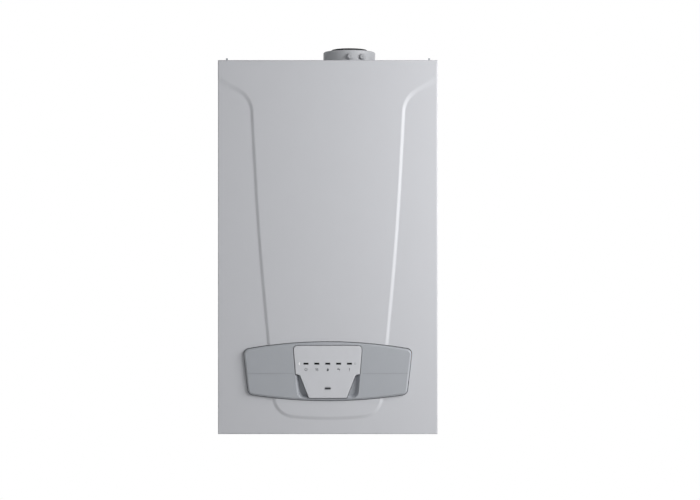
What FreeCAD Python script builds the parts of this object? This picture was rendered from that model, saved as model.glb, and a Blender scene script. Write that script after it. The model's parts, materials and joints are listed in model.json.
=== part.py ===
# Wall-hung condensing gas boiler, with the pieces it holds inside.
# Millimetres. The origin is on the wall plane, midway between the two hanging holes.
# +X is right for someone facing the boiler, +Y points into the wall and +Z is up.
import FreeCAD
import Part
import Sketcher
import math
import os

SIZES = {
    # casing
    "case_width": 450.0,
    "case_height": 766.0,
    "case_depth": 345.0,
    "skin_sheet": 1.0,
    "frame_sheet": 1.5,
    "hook_drop": 38.0,
    "hook_spacing": 300.0,
    "hook_hole": 5.5,
    "side_return": 16.0,
    "bottom_recess": 36.0,
    "flange_clear": 2.0,
    "seam_clear": 0.5,
    "cut_over": 6.0,
    "tab_inset": 15.5,
    "tab_width": 4.0,
    "tab_rise": 8.5,
    # front cover
    "cover_depth": 38.0,
    "cover_seam": 3.0,
    "cover_lip": 12.0,
    "rim_share": 0.625,
    "field_rise": 4.0,
    "field_bevel": 7.0,
    "field_shoulder": 46.0,
    "field_corner_share": 0.35556,
    "field_corner_drop": 67.0,
    "field_corner_round": 68.0,
    "field_foot_share": 0.26111,
    "field_foot_rise": 30.0,
    "field_foot_round_share": 0.65532,
    "gasket_width": 8.0,
    "gasket_inset": 4.5,
    "gasket_play": 0.2,
    "screw_spacing": 300.0,
    "screw_setback": 6.0,
    "screw_radius": 2.4,
    "screw_head": 4.6,
    "screw_head_rise": 2.0,
    "screw_clear": 0.6,
    "screw_tab": 14.0,
    "screw_gap": 0.3,
    # fascia
    "fascia_rise": 189.0,
    "fascia_tall": 119.5,
    "fascia_top_share": 0.38333,
    "fascia_bottom_share": 0.36000,
    "fascia_bow_top": 16.0,
    "fascia_bow_bottom": 13.0,
    "fascia_round": 11.0,
    "fascia_proud": 6.0,
    "fascia_bevel": 3.5,
    "fascia_wall": 3.0,
    "fascia_depth": 22.0,
    "fascia_gap": 1.3,
    "crease_share": 0.545,
    "crease_width": 0.8,
    "crease_depth": 0.4,
    # interface module and the well it sits in
    "well_inset": 6.0,
    "well_half_top": 71.5,
    "well_half_bottom": 62.5,
    "well_tall": 109.5,
    "well_round_top": 9.0,
    "well_round_bottom": 11.0,
    "well_depth": 18.5,
    "scoop_depth": 12.0,
    "scoop_slant": 6.5,
    "scoop_round": 15.0,
    "well_floor_gap": 0.3,
    "module_gap": 1.2,
    "module_wall": 2.0,
    "module_back": 3.0,
    "module_edge": 1.0,
    "notch_drop": 60.0,
    "notch_step": 8.0,
    "notch_round": 7.0,
    "foot_half": 38.5,
    "foot_round": 4.0,
    "lamp_count": 5.0,
    "lamp_pitch": 22.2,
    "lamp_width": 10.0,
    "lamp_tall": 3.6,
    "lamp_drop": 38.0,
    "lamp_play": 0.15,
    "lamp_flange": 1.2,
    "lamp_flange_tall": 1.0,
    "button_width": 13.0,
    "button_tall": 5.6,
    "button_drop": 88.5,
    "button_play": 0.25,
    "button_flange": 1.0,
    "button_rim": 2.0,
    "button_stem": 1.8,
    "button_travel": 1.2,
    "button_stand": 0.5,
    "board_sheet": 1.6,
    "board_share": 0.75,
    # ratios used for small rounds and seats
    "trim_share": 0.25,
    "slot_share": 0.48,
    "seat_share": 1.35,
    "bore_share": 0.6,
    "spindle_share": 0.5,
    "bend_share": 0.75,
    # flue collar on the lid
    "flue_offset_share": 0.09778,
    "flue_reach": 50.0,
    "collar_radius": 55.7,
    "collar_bore": 50.3,
    "collar_rise": 35.5,
    "collar_edge": 2.5,
    "collar_foot": 72.0,
    "collar_foot_sheet": 3.0,
    "collar_hole": 52.0,
    "collar_bolt_circle": 64.0,
    "collar_bolts": 4.0,
    "socket_radius": 33.0,
    "socket_bore": 30.2,
    "socket_rise": 37.0,
    "socket_drop": 36.0,
    "socket_step": 3.0,
    "socket_step_bore": 28.0,
    "rib_count": 3.0,
    "rib_sheet": 2.5,
    "rib_tall": 22.0,
    "rib_play": 0.3,
    "seal_radius": 38.0,
    "seal_rise": 4.0,
    "seal_play": 0.4,
    "seal_skirt": 10.0,
    "plug_radius": 5.0,
    "plug_length": 4.0,
    "plug_boss": 6.5,
    "plug_boss_length": 8.0,
    "plug_rise": 21.0,
    "plug_near": 2.0,
    "plug_far": 28.0,
    "flue_pipe_radius": 30.0,
    "flue_pipe_wall": 1.5,
    "flue_pipe_bend": 46.0,
    "pipe_play": 0.3,
    # expansion vessel and rails
    "vessel_radius": 172.0,
    "vessel_depth_share": 0.24928,
    "vessel_boss": 28.0,
    "vessel_boss_rise": 6.0,
    "vessel_round": 26.0,
    "vessel_rim": 6.0,
    "vessel_wall": 1.6,
    "vessel_drop_share": 0.39164,
    "vessel_gap": 4.0,
    "vessel_nipple": 8.0,
    "vessel_nipple_rise": 14.0,
    "vessel_pipe_radius": 5.0,
    "vessel_pipe_bend": 16.0,
    "vessel_pipe_run": 50.0,
    "vessel_pipe_inset": 10.0,
    "rail_tall": 26.0,
    "rail_depth": 9.0,
    "rail_spread": 62.0,
    # heat exchanger and burner
    "exch_drop_share": 0.28982,
    "exch_gap": 14.0,
    "exch_share": 0.22222,
    "exch_flange_rim": 6.0,
    "exch_flange_sheet": 6.0,
    "exch_length_share": 0.47826,
    "exch_wall": 3.0,
    "exch_round": 9.0,
    "exch_boss": 34.0,
    "exch_boss_rise": 12.0,
    "exch_port_offset": 60.0,
    "exch_port_radius": 12.0,
    "exch_port_rise": 10.0,
    "coil_play": 0.4,
    "coil_tube": 6.0,
    "coil_tube_wide": 8.0,
    "coil_tail": 12.0,
    "coil_pitch_share": 0.12121,
    "coil_turns": 5.0,
    "coil_setback": 24.0,
    "burner_radius": 35.0,
    "burner_length": 120.0,
    "burner_wall": 1.2,
    "burner_round": 2.4,
    "door_inset": 8.0,
    "door_sheet": 8.0,
    "door_neck": 22.0,
    "door_neck_rise": 5.0,
    "door_bore": 19.0,
    "door_bolts": 6.0,
    "door_bolt_inset": 18.0,
    "nut_across": 10.0,
    "nut_tall": 6.0,
    "electrode_radius": 6.0,
    "electrode_length": 26.0,
    "electrode_share": 0.58,
    "electrode_lean_share": 0.15556,
    "sump_half_width": 48.0,
    "sump_half_depth": 31.0,
    "sump_tall": 62.0,
    "sump_wall": 3.0,
    "sump_round": 10.0,
    # fan, mixer and manifold
    "manifold_share": 0.06087,
    "manifold_wall": 2.5,
    "manifold_bend_share": 0.09275,
    "manifold_flange_sheet": 4.0,
    "manifold_lead": 16.0,
    "fan_clear": 31.0,
    "fan_setback": 42.0,
    "fan_share": 0.12444,
    "fan_growth": 6.0,
    "fan_depth": 46.0,
    "fan_wall": 3.0,
    "fan_outlet": 48.0,
    "fan_spout": 18.0,
    "fan_inlet": 26.0,
    "wheel_gap": 12.0,
    "wheel_depth": 30.0,
    "wheel_sheet": 2.0,
    "wheel_hub": 11.0,
    "wheel_hub_length": 8.0,
    "wheel_blades": 18.0,
    "wheel_blade_root": 24.0,
    "shaft_radius": 4.0,
    "shaft_play": 0.06,
    "shaft_reach": 22.0,
    "shaft_hole": 8.0,
    "motor_radius": 40.0,
    "motor_depth_share": 0.11594,
    "motor_round": 6.0,
    "mixer_radius": 32.0,
    "mixer_throat": 17.0,
    "mixer_depth": 36.0,
    "mixer_wall": 2.5,
    "mixer_port": 10.0,
    # gas line
    "gas_valve_offset": 20.0,
    "gas_valve_setback_share": 0.68116,
    "gas_valve_drop_share": 0.51958,
    "gas_valve_tall": 78.0,
    "gas_valve_half_width": 30.0,
    "gas_valve_half_depth": 26.0,
    "gas_valve_round": 6.0,
    "gas_coil_radius": 17.0,
    "gas_coil_length": 40.0,
    "gas_cap_radius": 20.0,
    "gas_cap_rise": 10.0,
    "gas_pipe_radius": 9.0,
    "gas_pipe_wall": 1.2,
    "gas_pipe_bend": 26.0,
    "gas_pipe_rise": 120.0,
    "gas_pipe_slope": 48.5,
    "mix_pipe_radius": 7.0,
    "mix_pipe_share": 0.43081,
    # water side
    "stub_pitch": 70.0,
    "stub_setback_share": 0.36232,
    "stub_large": 13.2,
    "stub_large_bore": 9.5,
    "stub_small": 10.4,
    "stub_small_bore": 7.5,
    "stub_end": 4.0,
    "stub_hole_play": 1.6,
    "block_near": 46.0,
    "block_clear": 29.0,
    "block_half_depth": 24.0,
    "block_tall": 55.0,
    "block_round": 8.0,
    "pipe_radius": 9.0,
    "pipe_wall": 1.0,
    "pipe_bend": 24.0,
    "flow_pipe_offset": 92.0,
    "flow_pipe_rise": 60.0,
    "flow_pipe_fall": 48.0,
    "return_pipe_rise": 71.0,
    "tower_radius": 20.0,
    "tower_rise": 62.0,
    "tower_bore": 4.6,
    "plate_pack_half": 118.0,
    "plate_pack_tall": 70.0,
    "plate_pack_depth": 44.0,
    "plate_pack_lift": 6.0,
    "plate_pack_round": 14.0,
    "plate_count": 9.0,
    "plate_groove": 1.6,
    "pump_inset": 71.0,
    "pump_rise": 71.5,
    "pump_radius": 46.0,
    "pump_depth": 42.0,
    "pump_wall": 5.0,
    "pump_neck": 17.0,
    "pump_motor_radius": 41.0,
    "pump_motor_share": 0.22609,
    "pump_wheel": 32.0,
    "pump_wheel_depth": 14.0,
    "pump_shaft": 5.0,
    "vent_radius": 11.0,
    "vent_tall": 46.0,
    "vent_cap": 6.0,
    "diverter_half": 20.0,
    "diverter_tall": 52.0,
    "diverter_round": 5.0,
    "stem_radius": 4.5,
    "stem_length": 40.0,
    "stem_travel": 8.0,
    "relief_gap": 8.0,
    "relief_lift": 28.0,
    "relief_radius": 13.0,
    "relief_length": 34.0,
    "relief_spindle": 3.0,
    "relief_bore": 3.06,
    "knob_radius": 16.0,
    "knob_depth": 18.0,
    "knob_lobes": 6.0,
    "knob_lobe_radius": 4.0,
    "knob_gap": 1.0,
    "fill_offset": 104.0,
    "fill_reach": 47.0,
    "fill_radius": 11.0,
    "fill_tall": 32.0,
    "fill_neck": 8.0,
    "fill_hole": 7.0,
    "fill_knob_radius": 13.0,
    "fill_knob_depth": 14.0,
    "fill_spindle": 4.0,
    "fill_bore": 4.06,
    "sensor_radius": 11.0,
    "sensor_tall": 15.5,
    "trap_radius": 30.0,
    "trap_drop_share": 0.62663,
    "trap_clear": 43.5,
    "trap_cap": 34.0,
    "trap_cap_tall": 16.0,
    "trap_wall": 2.5,
    "trap_spout": 10.7,
    "trap_spout_bore": 8.5,
    "hose_radius": 12.0,
    "hose_bore": 9.0,
    "hose_rib": 2.0,
    "hose_ribs": 12.0,
    # controls
    "control_inset": 4.0,
    "control_over": 14.0,
    "control_under": 10.0,
    "control_depth": 64.0,
    "control_wall": 2.5,
    "control_round": 8.0,
    "control_lid": 6.0,
    "bracket_sheet": 2.0,
    "bracket_depth": 44.0,
    "bracket_rise": 60.0,
    "pivot_radius": 5.0,
    "pivot_length": 8.0,
    "board_inset": 8.0,
    "board_stand": 10.0,
    "board_post": 4.0,
    "board_post_inset": 8.0,
    "chip_count": 4.0,
    "chip_tall": 22.0,
    "grommet_radius": 9.0,
    "grommet_lip": 12.0,
    "grommet_bore": 4.0,
    "grommet_tall": 4.0,
    "grommet_count": 3.0,
    "grommet_near": 30.0,
    "grommet_pitch": 28.0,
    "grommet_reach": 40.0,
}

doc = FreeCAD.newDocument("boiler")
sheet = doc.addObject("Spreadsheet::Sheet", "dims")
for row, (alias, amount) in enumerate(SIZES.items(), start=1):
    sheet.set("A%d" % row, alias)
    sheet.set("B%d" % row, repr(amount))
    sheet.setAlias("B%d" % row, alias)
doc.recompute()


class Size:
    """A sheet expression together with the number it stands for."""

    def __init__(self, text, value):
        self.text = text
        self.value = value

    def __add__(self, other):
        other = as_size(other)
        return Size("(%s + %s)" % (self.text, other.text), self.value + other.value)

    def __sub__(self, other):
        other = as_size(other)
        return Size("(%s - %s)" % (self.text, other.text), self.value - other.value)

    def __mul__(self, other):
        other = as_size(other)
        return Size("(%s * %s)" % (self.text, other.text), self.value * other.value)

    def __truediv__(self, other):
        other = as_size(other)
        return Size("(%s / %s)" % (self.text, other.text), self.value / other.value)

    def __radd__(self, other):
        return as_size(other) + self

    def __rsub__(self, other):
        return as_size(other) - self

    def __rmul__(self, other):
        return as_size(other) * self

    def __neg__(self):
        return Size("(0 - %s)" % self.text, -self.value)


class Dims:
    """Gives each size of the sheet by its alias."""

    def __getattr__(self, alias):
        return Size("dims.%s" % alias, float(sheet.get(alias)))


def as_size(amount):
    return amount if isinstance(amount, Size) else Size(repr(amount), float(amount))


def bow_radius(half_chord, rise):
    """Radius of an arc over a chord, from half the chord and its rise."""
    return (half_chord * half_chord + rise * rise) / (2 * rise)


d = Dims()
nodes = {}

# Places closer than this count as the same.
NEAR = 1e-3
# Steps of the stub pitch at which the threaded stubs stand.
LARGE_STUB_STEPS = (-2, 0, 2)
SMALL_STUB_STEPS = (-1, 1)

FACING = {
    "up": FreeCAD.Rotation(),
    "down": FreeCAD.Rotation(FreeCAD.Vector(1, 0, 0), 180),
    "front": FreeCAD.Rotation(FreeCAD.Vector(1, 0, 0), 90),
    "back": FreeCAD.Rotation(FreeCAD.Vector(1, 0, 0), -90),
    "right": FreeCAD.Rotation(FreeCAD.Vector(0, 1, 0), 90),
    "left": FreeCAD.Rotation(FreeCAD.Vector(0, 1, 0), -90),
}


def node(label, item):
    """Names a finished sub-part; its file takes the same name."""
    item.Label = label
    nodes[label] = item
    return item


def bind(item, **sizes):
    for name, size in sizes.items():
        item.setExpression(name.replace("__", "."), as_size(size).text)
    return item


def place(item, x=0, y=0, z=0, facing="up"):
    """Puts an item at a point, with its own +Z turned to the given side."""
    item.Placement = FreeCAD.Placement(FreeCAD.Vector(), FACING[facing])
    return bind(item, Placement__Base__x=x, Placement__Base__y=y, Placement__Base__z=z)


def new_body(label):
    body = doc.addObject("PartDesign::Body", label)
    body.Label = label
    return body


def new_sketch(body, plane, lift=None):
    """A sketch on one of the body's own planes, lifted along the plane's normal."""
    sketch = body.newObject("Sketcher::SketchObject", "%s_sketch" % body.Name)
    support = [item for item in body.Origin.OriginFeatures if item.Role == plane][0]
    sketch.AttachmentSupport = [(support, "")]
    sketch.MapMode = "FlatFace"
    if lift is not None:
        sketch.setExpression("AttachmentOffset.Base.z", as_size(lift).text)
    return sketch


def hold(sketch, kind, *where):
    """Adds a constraint whose last value is a size, and ties it to the sheet."""
    size = as_size(where[-1])
    index = sketch.addConstraint(Sketcher.Constraint(kind, *where[:-1], size.value))
    sketch.setExpression("Constraints[%d]" % index, size.text)


def pin(sketch, geometry, point, x, y):
    """Fixes a point of a sketch by its two distances from the origin."""
    hold(sketch, "DistanceX", -1, 1, geometry, point, x)
    hold(sketch, "DistanceY", -1, 1, geometry, point, y)


def arc_between(start, end, radius):
    """Centre and end angles of an arc; a negative radius turns clockwise."""
    chord = end - start
    away = math.sqrt(max(radius * radius - chord.Length * chord.Length / 4, 0.0))
    side = FreeCAD.Vector(-chord.y, chord.x, 0).normalize()
    centre = (start + end) / 2 + side * (away if radius > 0 else -away)
    first, last = (start, end) if radius > 0 else (end, start)
    angles = [math.atan2(point.y - centre.y, point.x - centre.x) for point in (first, last)]
    if angles[1] < angles[0]:
        angles[1] += 2 * math.pi
    return centre, angles


def outline(sketch, corners, arcs=None):
    """Draws a closed outline through corners (x, y) or (x, y, round).

    arcs gives a radius for the edge that leaves a corner, negative for a clockwise arc.
    """
    arcs = arcs or {}
    corners = [tuple(as_size(part) for part in corner) for corner in corners]
    count = len(corners)
    points = [FreeCAD.Vector(corner[0].value, corner[1].value, 0) for corner in corners]
    leave = list(points)
    enter = list(points)
    for i, corner in enumerate(corners):
        if len(corner) > 2:
            before = (points[i - 1] - points[i]).normalize()
            after = (points[(i + 1) % count] - points[i]).normalize()
            reach = corner[2].value / math.tan(before.getAngle(after) / 2)
            enter[i] = points[i] + before * reach
            leave[i] = points[i] + after * reach
    ends = []
    for i in range(count):
        j = (i + 1) % count
        if i in arcs:
            radius = as_size(arcs[i])
            centre, angles = arc_between(leave[i], enter[j], radius.value)
            circle = Part.Circle(centre, FreeCAD.Vector(0, 0, 1), abs(radius.value))
            edge = sketch.addGeometry(Part.ArcOfCircle(circle, angles[0], angles[1]), False)
            ends.append((edge, 1, 2) if radius.value > 0 else (edge, 2, 1))
        else:
            edge = sketch.addGeometry(Part.LineSegment(leave[i], enter[j]), False)
            ends.append((edge, 1, 2))
    for i, corner in enumerate(corners):
        last, this = ends[i - 1], ends[i]
        if len(corner) == 2:
            sketch.addConstraint(Sketcher.Constraint("Coincident", last[0], last[2], this[0], this[1]))
            pin(sketch, this[0], this[1], corner[0], corner[1])
            continue
        point = sketch.addGeometry(Part.Point(points[i]), True)
        pin(sketch, point, 1, corner[0], corner[1])
        sketch.addConstraint(Sketcher.Constraint("PointOnObject", point, 1, last[0]))
        sketch.addConstraint(Sketcher.Constraint("PointOnObject", point, 1, this[0]))
        turn = (points[i] - points[i - 1]).cross(points[(i + 1) % count] - points[i]).z
        before = (points[i - 1] - points[i]).normalize()
        after = (points[(i + 1) % count] - points[i]).normalize()
        middle = (before + after).normalize()
        centre = points[i] + middle * (corner[2].value / math.sin(before.getAngle(after) / 2))
        first, final = (enter[i], leave[i]) if turn > 0 else (leave[i], enter[i])
        angles = [math.atan2(p.y - centre.y, p.x - centre.x) for p in (first, final)]
        if angles[1] < angles[0]:
            angles[1] += 2 * math.pi
        circle = Part.Circle(centre, FreeCAD.Vector(0, 0, 1), corner[2].value)
        arc = sketch.addGeometry(Part.ArcOfCircle(circle, angles[0], angles[1]), False)
        start, stop = (1, 2) if turn > 0 else (2, 1)
        sketch.addConstraint(Sketcher.Constraint("Tangent", last[0], last[2], arc, start))
        sketch.addConstraint(Sketcher.Constraint("Tangent", arc, stop, this[0], this[1]))
        hold(sketch, "Radius", arc, corner[2])
    for i, radius in arcs.items():
        size = as_size(radius)
        hold(sketch, "Radius", ends[i][0], size if size.value > 0 else -size)
    return sketch


def circles(sketch, centres, radius):
    for x, y in centres:
        x, y, radius = as_size(x), as_size(y), as_size(radius)
        circle = Part.Circle(FreeCAD.Vector(x.value, y.value, 0), FreeCAD.Vector(0, 0, 1), radius.value)
        index = sketch.addGeometry(circle, False)
        pin(sketch, index, 3, x, y)
        hold(sketch, "Radius", index, radius)
    return sketch


def rectangle(left, low, right, high):
    return [(left, low), (right, low), (right, high), (left, high)]


def mirrored(corners):
    """A half outline, top to bottom on the left, closed by its mirror on the right."""
    right = [(-as_size(corner[0]),) + tuple(corner[1:]) for corner in reversed(corners)]
    return list(corners) + right


def pad(body, sketch, length, side="One side", back=False):
    item = body.newObject("PartDesign::Pad", "%s_pad" % body.Name)
    item.Profile = sketch
    item.SideType = side
    item.Reversed = back
    body.Tip = item
    return bind(item, Length=length)


def pocket(body, sketch, length, side="One side", back=False):
    item = body.newObject("PartDesign::Pocket", "%s_pocket" % body.Name)
    item.Profile = sketch
    item.SideType = side
    item.Reversed = back
    body.Tip = item
    return bind(item, Length=length)


def revolve(body, sketch):
    item = body.newObject("PartDesign::Revolution", "%s_turn" % body.Name)
    item.Profile = sketch
    item.ReferenceAxis = (sketch, ["V_Axis"])
    body.Tip = item
    return item


def around(body, feature, sketch, count):
    """Repeats a feature about the normal of its sketch."""
    item = body.newObject("PartDesign::PolarPattern", "%s_ring" % body.Name)
    item.Originals = [feature]
    item.Axis = (sketch, ["N_Axis"])
    item.Angle = 360
    body.Tip = item
    return bind(item, Occurrences=count)


def edges_where(feature, test):
    doc.recompute()
    return ["Edge%d" % i for i, edge in enumerate(feature.Shape.Edges, start=1) if test(edge)]


def round_edges(body, feature, radius, test):
    names = edges_where(feature, test)
    item = body.newObject("PartDesign::Fillet", "%s_round" % body.Name)
    item.Base = (feature, names)
    body.Tip = item
    return bind(item, Radius=radius)


def bevel_edges(body, feature, size, test):
    names = edges_where(feature, test)
    item = body.newObject("PartDesign::Chamfer", "%s_bevel" % body.Name)
    item.Base = (feature, names)
    body.Tip = item
    return bind(item, Size=size)


def flat_at(edge, axis, level):
    """Whether an edge lies in the plane where one coordinate has a given level."""
    box = edge.BoundBox
    low, high = getattr(box, axis + "Min"), getattr(box, axis + "Max")
    return abs(low - level) < NEAR and abs(high - level) < NEAR


def runs_along(edge, axis):
    """Whether an edge is straight and parallel to one axis."""
    box = edge.BoundBox
    spans = {name: getattr(box, name + "Length") for name in "XYZ"}
    return spans[axis] > NEAR and all(spans[name] < NEAR for name in "XYZ" if name != axis)


def box(name, x, y, z):
    """A block given by its two faces on each axis."""
    item = doc.addObject("Part::Box", name)
    bind(item, Length=as_size(x[1]) - x[0], Width=as_size(y[1]) - y[0], Height=as_size(z[1]) - z[0])
    return place(item, x[0], y[0], z[0])


def cylinder(name, radius, height, x=0, y=0, z=0, facing="up"):
    item = doc.addObject("Part::Cylinder", name)
    bind(item, Radius=radius, Height=height)
    return place(item, x, y, z, facing)


def hexagon(name, across, height, x=0, y=0, z=0, facing="up"):
    """A six-sided prism given by its width across flats."""
    item = doc.addObject("Part::Prism", name)
    item.Polygon = 6
    bind(item, Circumradius=as_size(across) * Size("(1 / sqrt(3))", 1 / math.sqrt(3)), Height=height)
    return place(item, x, y, z, facing)


def fuse(label, *items):
    item = doc.addObject("Part::MultiFuse", label)
    item.Shapes = list(items)
    item.Refine = True
    return item


def cut(label, base, *tools):
    item = doc.addObject("Part::Cut", label)
    item.Base = base
    item.Tool = tools[0] if len(tools) == 1 else fuse("%s_tools" % label, *tools)
    item.Refine = True
    return item


def group(label, items):
    """Like pieces that share one file."""
    item = doc.addObject("Part::Compound", label)
    item.Links = list(items)
    return node(label, item)


def turned(label, profile, x=0, y=0, z=0, facing="up"):
    """A turned piece: profile corners are (radius, height) or (radius, height, round)."""
    body = new_body(label)
    revolve(body, outline(new_sketch(body, "XZ_Plane"), profile))
    return place(body, x, y, z, facing)


# Planes and axes that more than one piece is held to.
half = d.case_width / 2
cover_round = d.field_rise * d.rim_share
fascia_half_top = d.case_width * d.fascia_top_share
fascia_half_bottom = d.case_width * d.fascia_bottom_share
field_corner_x = d.case_width * d.field_corner_share
field_foot_x = d.case_width * d.field_foot_share
tab_spacing = d.case_width - d.tab_inset * 2
exch_flange = d.case_width * d.exch_share
exch_radius = exch_flange - d.exch_flange_rim
exch_length = d.case_depth * d.exch_length_share
exch_boss_drop = exch_radius + d.exch_boss_rise
exch_port_drop = exch_radius + d.exch_port_rise
door_radius = exch_flange - d.door_inset
door_bolt_circle = exch_flange - d.door_bolt_inset
electrode_circle = exch_flange * d.electrode_share
coil_pitch = exch_length * d.coil_pitch_share
vessel_depth = d.case_depth * d.vessel_depth_share
manifold_bend = d.case_depth * d.manifold_bend_share
manifold_radius = d.case_depth * d.manifold_share
manifold_bore = manifold_radius - d.manifold_wall
motor_depth = d.case_depth * d.motor_depth_share
pump_motor_depth = d.case_depth * d.pump_motor_share
fan_radius = d.case_width * d.fan_share
fan_outlet_reach = fan_radius + d.fan_spout
wheel_radius = fan_radius - d.wheel_gap
block_far = half - d.block_clear
pump_offset = block_far - d.pump_inset
control_half_width = fascia_half_bottom - d.control_inset
top = d.hook_drop
bottom = top - d.case_height
face = -d.case_depth
land = face + d.field_rise
cover_back = face + d.cover_depth
body_front = cover_back + d.cover_seam
lid_under = top - d.frame_sheet
plate_top = bottom + d.bottom_recess + d.frame_sheet
fascia_face = face - d.fascia_proud
fascia_back = fascia_face + d.fascia_depth
fascia_top = bottom + d.fascia_rise
well_top = fascia_top - d.well_inset
flue_x = d.case_width * d.flue_offset_share
rail_back = -(d.frame_sheet + vessel_depth + d.vessel_gap)
exch_back = rail_back - d.rail_depth
exch_front = exch_back - exch_length
door_front = exch_front - d.door_sheet
exch_x = flue_x - d.flue_pipe_radius - d.exch_gap - exch_flange
exch_z = top - d.case_height * d.exch_drop_share
stub_y = -(d.case_depth * d.stub_setback_share)
fill_y = stub_y - d.fill_reach
flue_y = stub_y - d.flue_reach
block_top = plate_top + d.block_tall
sump_top = exch_z - exch_boss_drop
manifold_y = door_front - d.door_neck_rise - manifold_bend
fan_y = manifold_y + d.fan_setback
fan_x = half - d.fan_clear - fan_radius - d.fan_growth
fan_back = fan_y + d.fan_depth / 2
fan_front = fan_y - d.fan_depth / 2
scroll_drop = fan_radius + d.fan_growth * 3
fan_z = exch_z + scroll_drop - d.fan_outlet / 2
pump_z = block_top + d.pump_rise
pump_back = stub_y + d.pump_depth / 2
pump_front = stub_y - d.pump_depth / 2
valve_top = top - d.case_height * d.gas_valve_drop_share
valve_x = d.gas_valve_offset
valve_y = -(d.case_depth * d.gas_valve_setback_share)
relief_x = exch_x + d.trap_spout + d.relief_gap + d.relief_radius * d.seat_share
vessel_y = -(d.frame_sheet + (vessel_depth + d.vessel_boss_rise) / 2)
vessel_z = top - d.case_height * d.vessel_drop_share
block_face = stub_y - d.block_half_depth
tower_x = d.stub_pitch * LARGE_STUB_STEPS[0]
tower_top = block_top + d.tower_rise
trap_top = top - d.case_height * d.trap_drop_share
trap_low = block_top + d.trap_clear
control_rear = fascia_back + d.control_depth
control_high = fascia_top + d.control_over
control_low = fascia_top - d.fascia_tall - d.control_under
module_skin = fascia_face + d.module_wall
module_rear = fascia_face + d.well_depth - d.well_floor_gap
module_seat = module_rear - d.module_back
lamp_z = well_top - d.lamp_drop
button_z = well_top - d.button_drop


def field_outline(sketch, inset, bevel):
    """The raised field of the front cover, drawn in by a sheet thickness and a bevel."""
    foot_round = field_foot_x * d.field_foot_round_share
    low = bottom + d.field_foot_rise + bevel
    left = [
        (-(half - inset), top - inset),
        (-(half - inset), top - d.field_shoulder + bevel),
        (-(field_corner_x - bevel), top - d.field_corner_drop + bevel, d.field_corner_round + bevel),
        (-(field_foot_x - bevel), low, foot_round - bevel),
    ]
    return outline(sketch, mirrored(left))


def fascia_outline(sketch, grow):
    """The bowed outline of the fascia, grown by a clearance or drawn in by a wall."""
    high = fascia_top - d.fascia_bow_top + grow
    low = fascia_top - d.fascia_tall + d.fascia_bow_bottom - grow
    wide = fascia_half_top + grow
    narrow = fascia_half_bottom + grow
    corners = [(-wide, high), (-narrow, low), (narrow, low), (wide, high)]
    bows = {1: bow_radius(narrow, d.fascia_bow_bottom), 3: bow_radius(wide, d.fascia_bow_top)}
    return outline(sketch, corners, bows)


def well_outline(sketch, grow):
    """The well in the fascia that takes the interface module and a finger at each side."""
    left = [
        (-(d.well_half_top + grow), well_top + grow, d.well_round_top + grow),
        (-(d.well_half_bottom + grow), well_top - d.well_tall - grow, d.well_round_bottom + grow),
    ]
    return outline(sketch, mirrored(left))


def scoop_outline(sketch, side, inset):
    """One finger space between the well's edge and the module, with walls that slant in to its floor."""
    slope = (d.well_half_top - d.well_half_bottom) / d.well_tall
    high = well_top - d.notch_drop + d.scoop_slant - inset
    low = well_top - d.well_tall + inset
    waist = d.well_half_top - slope * d.notch_drop - d.notch_step
    inner = d.scoop_slant - inset
    corners = [
        (d.well_half_top - slope * (well_top - high) - inset, high),
        (waist - inner, high),
        (d.foot_half - inner, low),
        (d.well_half_bottom - inset, low, d.scoop_round - inset),
    ]
    return outline(sketch, [(corner[0] * side,) + corner[1:] for corner in corners])


def module_outline(sketch, shrink):
    """The interface module: it fills the top of the well and leaves a finger space at each side."""
    gap = d.module_gap + shrink
    slope = (d.well_half_top - d.well_half_bottom) / d.well_tall
    waist = d.well_half_top - slope * d.notch_drop - gap
    notch = well_top - d.notch_drop + shrink
    left = [
        (-(d.well_half_top - gap), well_top - gap, d.well_round_top - gap),
        (-waist, notch),
        (-(waist - d.notch_step), notch, d.notch_round),
        (-(d.foot_half - shrink), well_top - d.well_tall + gap, d.foot_round),
    ]
    return outline(sketch, mirrored(left))


def loft(body, kind, label, first, last):
    item = body.newObject("PartDesign::%s" % kind, label)
    item.Profile = first
    item.Sections = [last]
    item.Ruled = True
    body.Tip = item
    return item


def front_cover():
    body = new_body("front_cover")
    gauge = d.skin_sheet
    rim = rectangle(-half, bottom, half, top)
    pad(body, outline(new_sketch(body, "XZ_Plane", -cover_back), rim), cover_back - land)
    foot = field_outline(new_sketch(body, "XZ_Plane", -land), 0, as_size(0))
    crown = field_outline(new_sketch(body, "XZ_Plane", -face), 0, d.field_bevel)
    field = loft(body, "AdditiveLoft", "cover_field", foot, crown)

    def on_rim(edge):
        if edge.BoundBox.YMax > land.value + NEAR:
            return False
        sides = [flat_at(edge, "X", -half.value), flat_at(edge, "X", half.value)]
        return any(sides + [flat_at(edge, "Z", top.value), flat_at(edge, "Z", bottom.value)])

    round_edges(body, field, cover_round, on_rim)
    hollow = rectangle(-(half - gauge), bottom + gauge, half - gauge, top - gauge)
    inside = outline(new_sketch(body, "XZ_Plane", -cover_back), hollow)
    pocket(body, inside, cover_back - land - gauge, back=True)
    foot = field_outline(new_sketch(body, "XZ_Plane", -(land + gauge)), gauge, gauge)
    crown = field_outline(new_sketch(body, "XZ_Plane", -(face + gauge)), gauge, d.field_bevel + gauge)
    loft(body, "SubtractiveLoft", "cover_dish", foot, crown)
    lip = new_sketch(body, "XZ_Plane", -cover_back)
    outline(lip, hollow)
    reach = gauge + d.cover_lip
    outline(lip, rectangle(-(half - reach), bottom + reach, half - reach, top - reach))
    pad(body, lip, gauge)
    cover_slots(body)
    window = fascia_outline(new_sketch(body, "XZ_Plane", -cover_back), d.fascia_gap)
    opening = pocket(body, window, d.cover_depth + d.cut_over, back=True)
    round_edges(body, opening, d.fascia_round + d.fascia_gap, window_corner)
    node("front_cover", body)


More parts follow.
